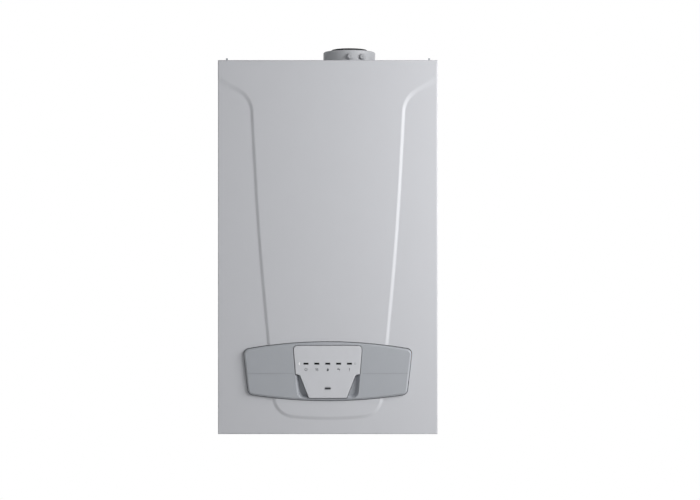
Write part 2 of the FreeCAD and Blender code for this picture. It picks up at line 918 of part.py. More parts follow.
def cover_slots(body):
    """Open slots in the cover's underside for its two screws and the ears that they hold to."""
    gauge = d.skin_sheet
    slots = new_sketch(body, "XY_Plane", bottom)
    gaps = new_sketch(body, "XY_Plane", bottom + gauge)
    for side in (-1, 1):
        middle = d.screw_spacing * side / 2
        wide = d.screw_radius + d.screw_clear
        deep = cover_back - d.screw_setback - wide
        outline(slots, rectangle(middle - wide, deep, middle + wide, cover_back + gauge))
        wide = d.screw_tab / 2 + d.screw_clear
        deep = cover_back - gauge * 2
        outline(gaps, rectangle(middle - wide, deep, middle + wide, cover_back + gauge))
    pocket(body, slots, gauge * 2, "Symmetric")
    pocket(body, gaps, d.flange_clear + d.frame_sheet, back=True)


def window_corner(edge):
    """Whether an edge is one of the four corners of the cover's window."""
    high = (fascia_top - d.fascia_bow_top + d.fascia_gap).value
    low = (fascia_top - d.fascia_tall + d.fascia_bow_bottom - d.fascia_gap).value
    level = edge.CenterOfMass.z
    return runs_along(edge, "Y") and min(abs(level - high), abs(level - low)) < NEAR


def fascia():
    body = new_body("fascia")
    blank = fascia_outline(new_sketch(body, "XZ_Plane", -fascia_back), as_size(0))
    blank = pad(body, blank, d.fascia_depth)
    corners = round_edges(body, blank, d.fascia_round, lambda edge: runs_along(edge, "Y"))
    bevel_edges(body, corners, d.fascia_bevel, lambda edge: flat_at(edge, "Y", fascia_face.value))
    well = module_outline(new_sketch(body, "XZ_Plane", -fascia_face), -d.module_gap)
    pocket(body, well, d.well_depth)
    deep = fascia_face + d.scoop_depth
    for side in (-1, 1):
        mouth = scoop_outline(new_sketch(body, "XZ_Plane", -fascia_face), side, as_size(0))
        ground = scoop_outline(new_sketch(body, "XZ_Plane", -deep), side, d.scoop_slant)
        loft(body, "SubtractiveLoft", "fascia_scoop", mouth, ground)
    hollow = new_sketch(body, "XZ_Plane", -fascia_back)
    fascia_outline(hollow, -(d.fascia_wall + d.fascia_bevel))
    well_outline(hollow, d.fascia_wall)
    pocket(body, hollow, d.fascia_depth - d.fascia_wall, back=True)
    crease = fascia_top - d.fascia_tall * d.crease_share
    lines = new_sketch(body, "XZ_Plane", -fascia_face)
    outline(lines, rectangle(-half, crease, -d.well_half_top, crease + d.crease_width))
    outline(lines, rectangle(d.well_half_top, crease, half, crease + d.crease_width))
    pocket(body, lines, d.crease_depth)
    node("fascia", body)


def bent_pipe(label, route, radius, wall, bend):
    """A tube along straight runs joined by round bends; no sketch lies along such a path."""
    points = [FreeCAD.Vector(*(as_size(part).value for part in point)) for point in route]
    edges = []
    here = points[0]
    for i in range(1, len(points) - 1):
        before = (points[i - 1] - points[i]).normalize()
        after = (points[i + 1] - points[i]).normalize()
        opening = before.getAngle(after)
        reach = bend.value / math.tan(opening / 2)
        centre = points[i] + (before + after).normalize() * (bend.value / math.sin(opening / 2))
        first = points[i] + before * reach
        last = points[i] + after * reach
        middle = centre + (points[i] - centre).normalize() * bend.value
        edges.append(Part.makeLine(here, first))
        edges.append(Part.Arc(first, middle, last).toShape())
        here = last
    edges.append(Part.makeLine(here, points[-1]))
    path = Part.Wire(edges)
    along = points[1] - points[0]
    rings = [Part.Wire(Part.makeCircle(size.value, points[0], along)) for size in (radius, radius - wall)]
    outer, inner = [path.makePipeShell([ring], True, False) for ring in rings]
    item = doc.addObject("Part::Feature", label)
    item.Shape = outer.cut(inner)
    return item


def tube(label, outer, inner, length, *spot):
    return turned(label, [(inner, 0), (outer, 0), (outer, length), (inner, length)], *spot)


# Casing.
def back_frame():
    inner = half - d.skin_sheet
    gauge = d.frame_sheet
    frame = new_body("back_frame")
    wing = [(-inner, 0), (-inner, exch_back), (-(inner - gauge), exch_back), (-(inner - gauge), -gauge)]
    pad(frame, outline(new_sketch(frame, "XY_Plane"), mirrored(wing)), d.case_height - gauge)
    holes = [(-d.hook_spacing / 2, -bottom), (d.hook_spacing / 2, -bottom)]
    pocket(frame, circles(new_sketch(frame, "XZ_Plane"), holes, d.hook_hole), d.cut_over, "Symmetric")
    node("back_frame", place(frame, z=bottom))


def side_panel(label, side):
    panel = new_body(label)
    inner = half - d.skin_sheet
    edge = half - d.side_return
    fold = body_front + d.skin_sheet
    path = [(half, 0), (half, body_front), (edge, body_front), (edge, fold), (inner, fold), (inner, 0)]
    path = [(side * x, y) for x, y in path]
    pad(panel, outline(new_sketch(panel, "XY_Plane"), path), d.case_height - d.frame_sheet)
    node(label, place(panel, z=bottom))


def flange_strip():
    """The upright flange along the front edge of the lid and of the floor, seen from above."""
    reach = half - d.side_return - d.seam_clear
    return rectangle(-reach, body_front, reach, body_front + d.frame_sheet)


def top_plate():
    lid = new_body("top_plate")
    gauge = d.frame_sheet
    pad(lid, outline(new_sketch(lid, "XY_Plane"), rectangle(-half, body_front, half, 0)), gauge)
    pad(lid, outline(new_sketch(lid, "XY_Plane"), flange_strip()), d.side_return, back=True)
    tabs = new_sketch(lid, "XY_Plane")
    wide = d.tab_width / 2
    for side in (-1, 1):
        middle = tab_spacing * side / 2
        outline(tabs, rectangle(middle - wide, body_front, middle + wide, body_front + gauge))
    pad(lid, tabs, gauge + d.tab_rise)
    hole = circles(new_sketch(lid, "XY_Plane"), [(flue_x, flue_y)], d.collar_hole)
    pocket(lid, hole, d.cut_over, "Symmetric")
    node("top_plate", place(lid, z=lid_under))


def grommet_spots():
    count = int(d.grommet_count.value)
    return [(-(d.grommet_near + d.grommet_pitch * i), flue_y - d.grommet_reach) for i in range(count)]


def bottom_plate():
    floor = new_body("bottom_plate")
    gauge = d.frame_sheet
    span = half - d.skin_sheet - gauge
    base = rectangle(-span, body_front + d.skin_sheet, span, -gauge)
    pad(floor, outline(new_sketch(floor, "XY_Plane"), base), gauge, back=True)
    drop = d.bottom_recess + gauge - d.flange_clear
    pad(floor, outline(new_sketch(floor, "XY_Plane"), flange_strip()), drop, back=True)
    ears = new_sketch(floor, "XY_Plane", -drop)
    wide = d.screw_tab / 2
    for side in (-1, 1):
        middle = d.screw_spacing * side / 2
        tip = cover_back - d.screw_setback * 2
        outline(ears, rectangle(middle - wide, tip, middle + wide, body_front + gauge))
    pad(floor, ears, gauge)
    ports = new_sketch(floor, "XY_Plane")
    large = [(d.stub_pitch * i, stub_y) for i in LARGE_STUB_STEPS]
    small = [(d.stub_pitch * i, stub_y) for i in SMALL_STUB_STEPS]
    circles(ports, large, d.stub_large + d.stub_hole_play)
    circles(ports, small, d.stub_small + d.stub_hole_play)
    circles(ports, [(exch_x, flue_y)], d.trap_spout + d.stub_hole_play)
    circles(ports, [(d.fill_offset, fill_y)], d.fill_hole)
    circles(ports, grommet_spots(), d.grommet_radius)
    pocket(floor, ports, d.cut_over, "Symmetric")
    node("bottom_plate", place(floor, z=plate_top))


def cover_gasket():
    foam = new_body("cover_gasket")
    ring = new_sketch(foam, "XZ_Plane", -body_front)
    for edge in (d.gasket_inset, d.gasket_inset + d.gasket_width):
        outline(ring, rectangle(-(half - edge), bottom + edge, half - edge, top - edge))
    pad(foam, ring, d.cover_seam - d.gasket_play)
    node("cover_gasket", foam)


def cover_screws():
    screws = []
    head, rise, shank = d.screw_head, d.screw_head_rise, d.screw_radius
    grip = d.flange_clear + d.screw_gap + rise
    profile = [(0, 0), (head, 0), (head, rise), (shank, rise), (shank, grip), (0, grip)]
    for side in (-1, 1):
        spot = d.screw_spacing * side / 2, cover_back - d.screw_setback, bottom - d.screw_gap - rise
        screws.append(turned("cover_screw", profile, *spot))
    group("cover_screws", screws)


# Flue.
def flue_collar():
    foot, rise = d.collar_foot_sheet, d.collar_rise
    out, bore = d.collar_radius, d.collar_bore
    profile = [(bore, 0), (d.collar_foot, 0), (d.collar_foot, foot), (out, foot, (out - bore) / 2),
               (out, rise, d.collar_edge), (bore, rise)]
    collar = turned("collar_turn", profile, flue_x, flue_y, top)
    slot = d.plug_length * d.trim_share
    head = [(0, 0), (d.plug_radius, 0), (d.plug_radius, d.plug_length, slot / 2), (slot, d.plug_length),
            (slot, d.plug_length - slot), (0, d.plug_length - slot)]
    bosses = []
    plugs = []
    level = top + d.plug_rise
    for offset in (d.plug_near, d.plug_far):
        deep = Size("sqrt(%s ^ 2 - %s ^ 2)" % (out.text, offset.text),
                    math.sqrt(out.value ** 2 - offset.value ** 2))
        start = flue_y - deep + d.plug_boss_length / 2
        spot = flue_x + offset, start, level, "front"
        bosses.append(cylinder("plug_boss", d.plug_boss, d.plug_boss_length, *spot))
        spot = flue_x + offset, start - d.plug_boss_length, level, "front"
        plugs.append(turned("sampling_plug", head, *spot))
    clear = cylinder("collar_clear", bore, rise + d.cut_over, flue_x, flue_y, top)
    node("flue_collar", cut("flue_collar", fuse("collar_body", collar, *bosses), clear))
    group("sampling_plugs", plugs)


def flue_socket():
    step, stop = d.socket_drop, d.socket_drop - d.socket_step
    length = d.socket_drop + d.socket_rise
    loose = d.flue_pipe_radius + d.pipe_play
    profile = [(loose, 0), (d.socket_radius, 0), (d.socket_radius, length), (d.socket_bore, length),
               (d.socket_bore, step), (d.socket_step_bore, step), (d.socket_step_bore, stop), (loose, stop)]
    socket = new_body("flue_socket")
    revolve(socket, outline(new_sketch(socket, "XZ_Plane"), profile))
    rib = new_sketch(socket, "XY_Plane", d.socket_drop + d.collar_foot_sheet)
    root = (d.socket_radius + d.socket_bore) / 2
    outline(rib, rectangle(root, -d.rib_sheet / 2, d.collar_bore - d.rib_play, d.rib_sheet / 2))
    around(socket, pad(socket, rib, d.rib_tall), rib, d.rib_count)
    node("flue_socket", place(socket, flue_x, flue_y, top - d.socket_drop))


def flue_lip_seal():
    skirt = d.seal_skirt
    loose = d.socket_radius + d.pipe_play
    lip = d.socket_bore + d.seal_play
    rise = skirt + d.seal_rise - d.pipe_play
    profile = [(loose, 0), (d.seal_radius, 0, d.pipe_play), (d.seal_radius, rise, d.seal_rise * d.trim_share),
               (lip, rise), (lip, skirt + d.pipe_play), (loose, skirt + d.pipe_play)]
    seal = turned("flue_lip_seal", profile, flue_x, flue_y, top + d.socket_rise - skirt)
    node("flue_lip_seal", seal)


def collar_screws():
    bolts = []
    count = int(d.collar_bolts.value)
    head, rise = d.screw_head, d.screw_head_rise
    profile = [(0, 0), (head, 0), (head, rise, rise / 2), (0, rise)]
    for i in range(count):
        turn = math.pi * (2 * i + 1) / count
        x = flue_x + d.collar_bolt_circle * math.cos(turn)
        y = flue_y + d.collar_bolt_circle * math.sin(turn)
        bolts.append(turned("collar_screw", profile, x, y, top + d.collar_foot_sheet))
    group("collar_screws", bolts)


def flue_pipe():
    level = sump_top - d.sump_tall / 2
    route = [(exch_x + d.sump_half_width, flue_y, level), (flue_x, flue_y, level),
             (flue_x, flue_y, top - d.socket_step - d.pipe_play)]
    pipe = bent_pipe("flue_pipe", route, d.flue_pipe_radius, d.flue_pipe_wall, d.flue_pipe_bend)
    node("flue_pipe", pipe)


# Heat.
def expansion_vessel():
    out, wall, belly = d.vessel_radius, d.vessel_wall, d.vessel_round
    near, far = d.vessel_boss_rise, vessel_depth
    skin = [(0, 0), (d.vessel_boss, 0), (d.vessel_boss, near), (out, near, belly), (out, far, belly),
            (0, far)]
    low, high, wide = near + wall, far - wall, out - wall
    hollow = [(0, low), (out - belly, low), (wide, low + belly), (wide, high - belly), (out - belly, high),
              (0, high)]
    spot = 0, -d.frame_sheet, vessel_z, "front"
    shell = turned("vessel_shell", skin, *spot)
    seam = 0, vessel_y + d.vessel_rim / 2, vessel_z, "front"
    rim = tube("vessel_rim", out + d.vessel_rim, wide, d.vessel_rim, *seam)
    rise = d.vessel_nipple_rise
    nipple = cylinder("vessel_nipple", d.vessel_nipple, rise * 2, 0, vessel_y, vessel_z - out - rise)
    body = fuse("vessel_body", shell, rim, nipple)
    node("expansion_vessel", cut("expansion_vessel", body, turned("vessel_hollow", hollow, *spot)))


def vessel_pipe():
    start = vessel_z - d.vessel_radius - d.vessel_nipple_rise
    level = start - d.vessel_pipe_run
    side = block_far - d.vessel_pipe_inset
    turn_z = block_top + d.vessel_pipe_run / 2
    route = [(0, vessel_y, start), (0, vessel_y, level), (side, vessel_y, level), (side, vessel_y, turn_z),
             (side, stub_y, turn_z), (side, stub_y, block_top)]
    pipe = bent_pipe("vessel_pipe", route, d.vessel_pipe_radius, d.pipe_wall, d.vessel_pipe_bend)
    node("vessel_pipe", pipe)


def exchanger_rails():
    rails = []
    span = half - d.skin_sheet - d.frame_sheet
    tall, deep, gauge = d.rail_tall, d.rail_depth, d.frame_sheet
    web = -(deep - gauge)
    channel = [(0, 0), (-deep, 0), (-deep, tall), (0, tall), (0, tall - gauge), (web, tall - gauge),
               (web, gauge), (0, gauge)]
    for side in (-1, 1):
        rail = new_body("exchanger_rail")
        pad(rail, outline(new_sketch(rail, "YZ_Plane"), channel), span * 2, "Symmetric")
        rails.append(place(rail, 0, rail_back, exch_z + d.rail_spread * side - tall / 2))
    group("exchanger_rails", rails)


def exchanger_shell():
    wall, deep, rad = d.exch_wall, exch_length, exch_radius
    rim = deep - d.exch_flange_sheet
    cup = [(0, 0), (rad, 0, d.exch_round), (rad, rim), (exch_flange, rim), (exch_flange, deep), (0, deep)]
    space = [(0, wall), (rad - wall, wall, d.exch_round - wall), (rad - wall, deep), (0, deep)]
    spot = exch_x, exch_back, exch_z, "front"
    under = exch_x, flue_y, exch_z, "down"
    parts = [turned("exchanger_cup", cup, *spot)]
    parts.append(cylinder("exchanger_boss", d.exch_boss, exch_boss_drop, *under))
    for side in (-1, 1):
        port_x = exch_x + d.exch_port_offset * side
        port = cylinder("exchanger_port", d.exch_port_radius, exch_port_drop, port_x, stub_y, exch_z, "down")
        parts.append(port)
    bores = [turned("exchanger_space", space, *spot)]
    bores.append(cylinder("exchanger_drain", d.exch_boss - wall, exch_boss_drop, *under))
    node("exchanger_shell", cut("exchanger_shell", fuse("exchanger_body", *parts), *bores))


def wound_path(ring, rise, steps, tail):
    """A helix of arcs that keep their tangents, with a straight lead at each end."""
    def point(i):
        turn = math.pi / 2 * i
        return FreeCAD.Vector(ring * math.cos(turn), rise * turn, ring * math.sin(turn))

    def tangent(i):
        turn = math.pi / 2 * i
        return FreeCAD.Vector(-ring * math.sin(turn), rise, ring * math.cos(turn)).normalize()

    edges = []
    for i in range(steps):
        a, b, u, v = point(i), point(i + 1), tangent(i), tangent(i + 1)
        gap = b - a
        along = gap.dot(u + v)
        bend = 2 * (1 - u.dot(v))
        reach = (math.sqrt(along ** 2 + bend * gap.dot(gap)) - along) / bend
        joint = (a + u * reach + b - v * reach) / 2
        for start, way in ((a, u), (b, -v)):
            chord = joint - start
            across = way.cross(chord).cross(way).normalize()
            radius = chord.dot(chord) / (2 * chord.dot(across))
            centre = start + across * radius
            middle = centre + ((start + joint) / 2 - centre).normalize() * radius
            ends = (start, middle, joint) if start is a else (joint, middle, start)
            edges.append(Part.Arc(*ends).toShape())
    begin = point(0) - tangent(0) * tail
    edges.insert(0, Part.makeLine(begin, point(0)))
    edges.append(Part.makeLine(point(steps), point(steps) + tangent(steps) * tail))
    return Part.Wire(edges), begin, tangent(0)


def exchanger_coil():
    """One unbroken flat tube wound about the burner axis."""
    tail = d.coil_tail.value
    room = (exch_radius - d.exch_wall - d.coil_tube - d.coil_play).value
    ring = math.sqrt(room * room - tail * tail)
    rise = coil_pitch.value / (2 * math.pi)
    path, begin, way = wound_path(ring, rise, int(d.coil_turns.value * 4), tail)
    out = FreeCAD.Vector(d.coil_tube.value, 0, 0)
    along = way.cross(out).normalize() * d.coil_tube_wide.value
    corners = [out + along, out - along, -out - along, -out + along, out + along]
    sweep = Part.BRepOffsetAPI.MakePipeShell(path)
    sweep.setBiNormalMode(FreeCAD.Vector(0, 1, 0))
    sweep.add(Part.makePolygon([begin + corner for corner in corners]))
    sweep.build()
    sweep.makeSolid()
    item = doc.addObject("Part::Feature", "exchanger_coil")
    item.Shape = sweep.shape()
    node("exchanger_coil", place(item, exch_x, exch_front + d.coil_setback, exch_z))


def burner_door():
    neck, lift, thick = d.door_neck, d.door_neck_rise, d.door_sheet
    door = [(d.door_bore, 0), (door_radius, 0), (door_radius, thick, thick * d.trim_share),
            (neck + lift, thick), (neck, thick + lift), (d.door_bore, thick + lift)]
    node("burner_door", turned("burner_door", door, exch_x, exch_front, exch_z, "front"))


def burner_tube():
    thin, length, rad = d.burner_wall, d.burner_length, d.burner_radius
    burner = [(rad - thin, 0), (rad, 0), (rad, length, d.burner_round), (0, length), (0, length - thin),
              (rad - thin, length - thin)]
    node("burner_tube", turned("burner_tube", burner, exch_x, exch_front, exch_z, "back"))


def door_nuts():
    nuts = []
    count = int(d.door_bolts.value)
    for i in range(count):
        turn = math.pi * 2 * i / count
        x = exch_x + door_bolt_circle * math.cos(turn)
        z = exch_z + door_bolt_circle * math.sin(turn)
        nuts.append(hexagon("door_nut", d.nut_across, d.nut_tall, x, door_front, z, "front"))
    group("door_nuts", nuts)


def burner_electrodes():
    plugs = []
    rad, length = d.electrode_radius, d.electrode_length
    seat = rad * d.seat_share
    step = length * d.trim_share
    plug = [(0, 0), (seat, 0), (seat, step), (rad, step), (rad, length, rad / 2), (0, length)]
    for side in (-1, 1):
        turn = math.pi / 2 * (1 + side * d.electrode_lean_share.value)
        x = exch_x + electrode_circle * math.cos(turn)
        z = exch_z + electrode_circle * math.sin(turn)
        plugs.append(turned("burner_electrode", plug, x, door_front, z, "front"))
    group("burner_electrodes", plugs)


def condensate_sump():
    tub = new_body("condensate_sump")
    wide, deep, skin, tall = d.sump_half_width, d.sump_half_depth, d.sump_wall, d.sump_tall
    plan = [corner + (d.sump_round,) for corner in rectangle(-wide, -deep, wide, deep)]
    pad(tub, outline(new_sketch(tub, "XY_Plane"), plan), tall, back=True)
    inner = rectangle(skin - wide, skin - deep, wide - skin, deep - skin)
    inner = [corner + (d.sump_round - skin,) for corner in inner]
    pocket(tub, outline(new_sketch(tub, "XY_Plane"), inner), tall - skin)
    drain = circles(new_sketch(tub, "XY_Plane"), [(0, 0)], d.hose_bore)
    pocket(tub, drain, tall + d.cut_over)
    outlet = circles(new_sketch(tub, "YZ_Plane"), [(0, -tall / 2)], d.flue_pipe_radius - d.flue_pipe_wall)
    pocket(tub, outlet, wide + d.cut_over, back=True)
    node("condensate_sump", place(tub, exch_x, flue_y, sump_top))


# Air and gas.
def volute(sketch, inset):
    """A scroll of three growing quarter turns that runs out to the left at the bottom."""
    grow = d.fan_growth
    small = fan_radius - inset
    wide, full = small + grow, small + grow * 2
    low = inset - scroll_drop
    shelf = d.fan_outlet - inset - scroll_drop
    out = -fan_outlet_reach
    corners = [(-small, 0), (-small, shelf), (out, shelf), (out, low), (-grow, low), (wide, -grow),
               (0, small)]
    return outline(sketch, corners, {4: full, 5: wide, 6: small})


def fan_housing():
    wall, deep = d.fan_wall, d.fan_depth
    blank = new_body("fan_blank")
    pad(blank, volute(new_sketch(blank, "XZ_Plane"), as_size(0)), deep)
    place(blank, fan_x, fan_back, fan_z)
    space = new_body("fan_space")
    pad(space, volute(new_sketch(space, "XZ_Plane"), wall), deep - wall * 2)
    place(space, fan_x, fan_back - wall, fan_z)
    eye = cylinder("fan_eye", d.fan_inlet, deep / 2, fan_x, fan_back, fan_z, "front")
    hole = cylinder("fan_hole", d.shaft_hole, deep / 2, fan_x, fan_front, fan_z, "back")
    node("fan_housing", cut("fan_housing", blank, space, eye, hole))


def fan_impeller():
    wheel = new_body("fan_impeller")
    thin, tall, rad, shaft = d.wheel_sheet, d.wheel_depth, wheel_radius, d.shaft_radius
    reach = tall + (d.fan_depth - tall) / 2 + d.shaft_reach
    low = tall - d.wheel_hub_length
    hub = [(0, low), (d.wheel_hub, low), (d.wheel_hub, tall - thin), (rad, tall - thin), (rad, tall),
           (shaft, tall), (shaft, reach), (0, reach)]
    revolve(wheel, outline(new_sketch(wheel, "XZ_Plane"), hub))
    blade = new_sketch(wheel, "XY_Plane")
    root, lean = d.wheel_blade_root, d.wheel_hub / 2
    outline(blade, [(root, 0), (rad, lean), (rad, lean + thin), (root, thin)])
    around(wheel, pad(wheel, blade, tall), blade, d.wheel_blades)
    node("fan_impeller", place(wheel, fan_x, fan_y + tall / 2, fan_z, "front"))


def fan_motor():
    bore = d.shaft_radius + d.shaft_play
    stop = d.shaft_reach + d.fan_wall
    motor = [(bore, 0), (d.motor_radius, 0), (d.motor_radius, motor_depth, d.motor_round), (0, motor_depth),
             (0, stop), (bore, stop)]
    node("fan_motor", turned("fan_motor", motor, fan_x, fan_front, fan_z, "front"))


def gas_mixer():
    rad, throat, long = d.mixer_radius, d.mixer_throat, d.mixer_depth
    mixer = [(d.fan_inlet, 0), (rad, 0), (rad, long), (rad - d.mixer_wall, long), (throat, long / 2)]
    horn = turned("mixer_horn", mixer, fan_x, fan_back, fan_z, "back")
    middle = fan_back + long / 2
    port = cylinder("mixer_port", d.mixer_port, rad + d.mixer_port, fan_x, middle, fan_z, "down")
    clear = cylinder("mixer_clear", (throat + rad) / 2, long * 2, fan_x, fan_back - long / 2, fan_z, "back")
    node("gas_mixer", fuse("gas_mixer", horn, cut("mixer_branch", port, clear)))


def air_gas_manifold():
    start = fan_x - fan_outlet_reach
    turn = start - d.manifold_lead
    end = door_front - d.door_neck_rise
    route = [(start, fan_y, exch_z), (turn, fan_y, exch_z), (turn - d.fan_setback, manifold_y, exch_z),
             (exch_x, manifold_y, exch_z), (exch_x, end, exch_z)]
    bend = manifold_bend * d.bend_share
    duct = bent_pipe("manifold_duct", route, manifold_radius, manifold_radius - manifold_bore, bend)
    spot = start, fan_y, exch_z, "left"
    flange = tube("manifold_flange", d.fan_outlet / 2, manifold_bore, d.manifold_flange_sheet, *spot)
    node("air_gas_manifold", fuse("air_gas_manifold", duct, flange))


def gas_valve():
    wide, deep, tall = d.gas_valve_half_width, d.gas_valve_half_depth, d.gas_valve_tall
    middle = valve_top - tall / 2
    block = new_body("gas_block")
    plan = [corner + (d.gas_valve_round,) for corner in rectangle(-wide, -deep, wide, deep)]
    pad(block, outline(new_sketch(block, "XY_Plane"), plan), tall, back=True)
    place(block, valve_x, valve_y, valve_top)
    cap = cylinder("gas_cap", d.gas_cap_radius, d.gas_cap_rise, valve_x, valve_y - deep, middle, "front")
    rad, long = d.gas_coil_radius, d.gas_coil_length
    barrel = [(0, 0), (rad, 0), (rad, long, rad * d.trim_share), (0, long)]
    magnet = turned("gas_magnet", barrel, valve_x + wide, valve_y, middle, "right")
    node("gas_valve", fuse("gas_valve", block, cap, magnet))


def gas_pipes():
    wall, bend = d.gas_pipe_wall, d.gas_pipe_bend
    rise = plate_top + d.gas_pipe_rise
    level = rise + d.gas_pipe_slope
    route = [(0, stub_y, plate_top), (0, stub_y, rise), (valve_x, valve_y, level),
             (valve_x, valve_y, valve_top - d.gas_valve_tall)]
    node("gas_inlet_pipe", bent_pipe("gas_inlet_pipe", route, d.gas_pipe_radius, wall, bend))
    level = top - d.case_height * d.mix_pipe_share
    port_y = fan_back + d.mixer_depth / 2
    port_z = fan_z - d.mixer_radius - d.mixer_port
    route = [(valve_x, valve_y, valve_top), (valve_x, valve_y, level), (fan_x, port_y, level),
             (fan_x, port_y, port_z)]
    node("gas_mixer_pipe", bent_pipe("gas_mixer_pipe", route, d.mix_pipe_radius, wall, bend))


# Water.
def water_block(label, side):
    plan = rectangle(-block_far, -d.block_half_depth, -d.block_near, d.block_half_depth)
    plan = [(-side * x, y, d.block_round) for x, y in plan]
    block = new_body(label)
    pad(block, outline(new_sketch(block, "XY_Plane"), plan), d.block_tall)
    return place(block, 0, stub_y, plate_top)


def flow_block():
    block = water_block("flow_casting", -1)
    tall = d.block_tall + d.tower_rise
    tower = cylinder("flow_tower", d.tower_radius, tall, tower_x, stub_y, plate_top)
    room = d.stem_length + d.stem_travel * 2
    bore = cylinder("flow_bore", d.tower_bore, room, tower_x, stub_y, tower_top, "down")
    node("flow_block", cut("flow_block", fuse("flow_body", block, tower), bore))


def diverter():
    rad, long = d.stem_radius, d.stem_length
    stem = [(0, 0), (rad, 0), (rad, long), (0, long)]
    node("diverter_stem", turned("diverter_stem", stem, tower_x, stub_y, tower_top - long))
    motor = new_body("diverter_motor")
    wide = d.diverter_half
    plan = [corner + (d.diverter_round,) for corner in rectangle(-wide, -wide, wide, wide)]
    pad(motor, outline(new_sketch(motor, "XY_Plane"), plan), d.diverter_tall)
    node("diverter_motor", place(motor, tower_x, stub_y, tower_top))


def threaded_stubs(label, steps, radius, bore):
    length = d.bottom_recess + d.frame_sheet - d.stub_end
    stubs = []
    for i in steps:
        spot = d.stub_pitch * i, stub_y, plate_top, "down"
        stubs.append(tube("threaded_stub", radius, bore, length, *spot))
    group(label, stubs)


def plate_exchanger():
    pack = new_body("plate_exchanger")
    wide, tall, deep, edge = d.plate_pack_half, d.plate_pack_tall, d.plate_pack_depth, d.plate_groove
    front = [corner + (d.plate_pack_round,) for corner in rectangle(-wide, 0, wide, tall)]
    pad(pack, outline(new_sketch(pack, "XZ_Plane"), front), deep)
    gap = deep / (d.plate_count + 1)
    seam = new_sketch(pack, "XZ_Plane", gap)
    over = d.cut_over
    outline(seam, rectangle(-(wide + over), -over, wide + over, tall + over))
    core = rectangle(-(wide - edge), edge, wide - edge, tall - edge)
    outline(seam, [corner + (d.plate_pack_round - edge,) for corner in core])
    groove = pocket(pack, seam, edge, "Symmetric")
    rows = pack.newObject("PartDesign::LinearPattern", "plate_rows")
    rows.Originals = [groove]
    rows.Direction = (seam, ["N_Axis"])
    rows.Mode = "Spacing"
    bind(rows, Offset=gap, Occurrences=d.plate_count)
    pack.Tip = rows
    back = stub_y + d.block_half_depth + deep
    node("plate_exchanger", place(pack, 0, back, plate_top + d.plate_pack_lift))


def pump_housing():
    wall, rad, deep, neck = d.pump_wall, d.pump_radius, d.pump_depth, d.pump_neck
    inner = rad - wall
    cup = [(0, 0), (rad, 0, wall), (rad, deep), (inner, deep), (inner, wall), (0, wall)]
    hollow = [(0, wall), (inner, wall), (inner, deep), (0, deep)]
    spot = pump_offset, pump_back, pump_z, "front"
    bowl = turned("pump_bowl", cup, *spot)
    space = turned("pump_space", hollow, *spot)
    lower = cylinder("pump_inlet", neck, pump_z - block_top, pump_offset, stub_y, block_top)
    upper = cylinder("pump_outlet", neck, rad + wall, pump_offset, stub_y, pump_z)
    body, cap, tall = d.vent_radius, d.vent_cap, d.vent_tall
    vent = [(0, 0), (body, 0), (body, tall), (cap, tall), (cap, tall + cap), (0, tall + cap)]
    riser = turned("pump_vent", vent, pump_offset + neck + body + wall, stub_y, pump_z + rad / 2)
    node("pump_housing", cut("pump_housing", fuse("pump_body", bowl, lower, upper, riser), space))


def pump_motor():
    wall, rad, can = d.pump_wall, d.pump_radius, d.pump_motor_radius
    bore = d.pump_shaft + d.shaft_play
    stop = pump_motor_depth / 2 + wall
    profile = [(bore, 0), (rad, 0), (rad, wall), (can, wall), (can, pump_motor_depth, wall),
               (0, pump_motor_depth), (0, stop), (bore, stop)]
    node("pump_motor", turned("pump_motor", profile, pump_offset, pump_front, pump_z, "front"))


def pump_rotor():
    rad, tall, shaft = d.pump_wheel, d.pump_wheel_depth, d.pump_shaft
    lift = (d.pump_depth - d.pump_wall - tall) / 2
    reach = lift + tall + pump_motor_depth / 2
    profile = [(0, 0), (rad, 0), (rad, tall), (shaft, tall), (shaft, reach), (0, reach)]
    back = pump_back - d.pump_wall - lift
    node("pump_rotor", turned("pump_rotor", profile, pump_offset, back, pump_z, "front"))


def water_pipes():
    port_z = exch_z - exch_port_drop
    left, right = exch_x - d.exch_port_offset, exch_x + d.exch_port_offset
    level = tower_top + d.diverter_tall + d.flow_pipe_rise
    route = [(left, stub_y, port_z), (left, stub_y, level),
             (-d.flow_pipe_offset, stub_y, level - d.flow_pipe_fall),
             (-d.flow_pipe_offset, stub_y, block_top)]
    node("flow_pipe", bent_pipe("flow_pipe", route, d.pipe_radius, d.pipe_wall, d.pipe_bend))
    pump_top = pump_z + d.pump_radius + d.pump_wall
    level = pump_top + d.return_pipe_rise
    route = [(pump_offset, stub_y, pump_top), (pump_offset, stub_y, level), (right, stub_y, level),
             (right, stub_y, port_z)]
    node("return_pipe", bent_pipe("return_pipe", route, d.pipe_radius, d.pipe_wall, d.pipe_bend))


def knob(label, radius, depth, spindle, reach, *spot):
    """A lobed hand knob whose spindle runs back into its valve."""
    body = new_body(label)
    grip = [(0, -reach), (spindle, -reach), (spindle, 0), (radius, 0), (radius, depth, depth * d.trim_share),
            (0, depth)]
    revolve(body, outline(new_sketch(body, "XZ_Plane"), grip))
    away = radius + d.knob_lobe_radius * d.trim_share
    flute = circles(new_sketch(body, "XY_Plane"), [(away, 0)], d.knob_lobe_radius)
    around(body, pocket(body, flute, depth + d.cut_over, back=True), flute, d.knob_lobes)
    node(label, place(body, *spot))


def relief_valve():
    rad, long, bore = d.relief_radius, d.relief_length, d.relief_bore
    seat, step = rad * d.seat_share, long * d.trim_share
    body = [(0, 0), (seat, 0), (seat, step), (rad, step), (rad, long), (bore, long), (bore, long / 2),
            (0, long / 2)]
    level = plate_top + d.relief_lift
    node("relief_valve", turned("relief_valve", body, relief_x, block_face, level, "front"))
    reach = long / 2 - d.knob_gap
    spot = relief_x, block_face - long - d.knob_gap, level, "front"
    knob("relief_knob", d.knob_radius, d.knob_depth, d.relief_spindle, reach, *spot)


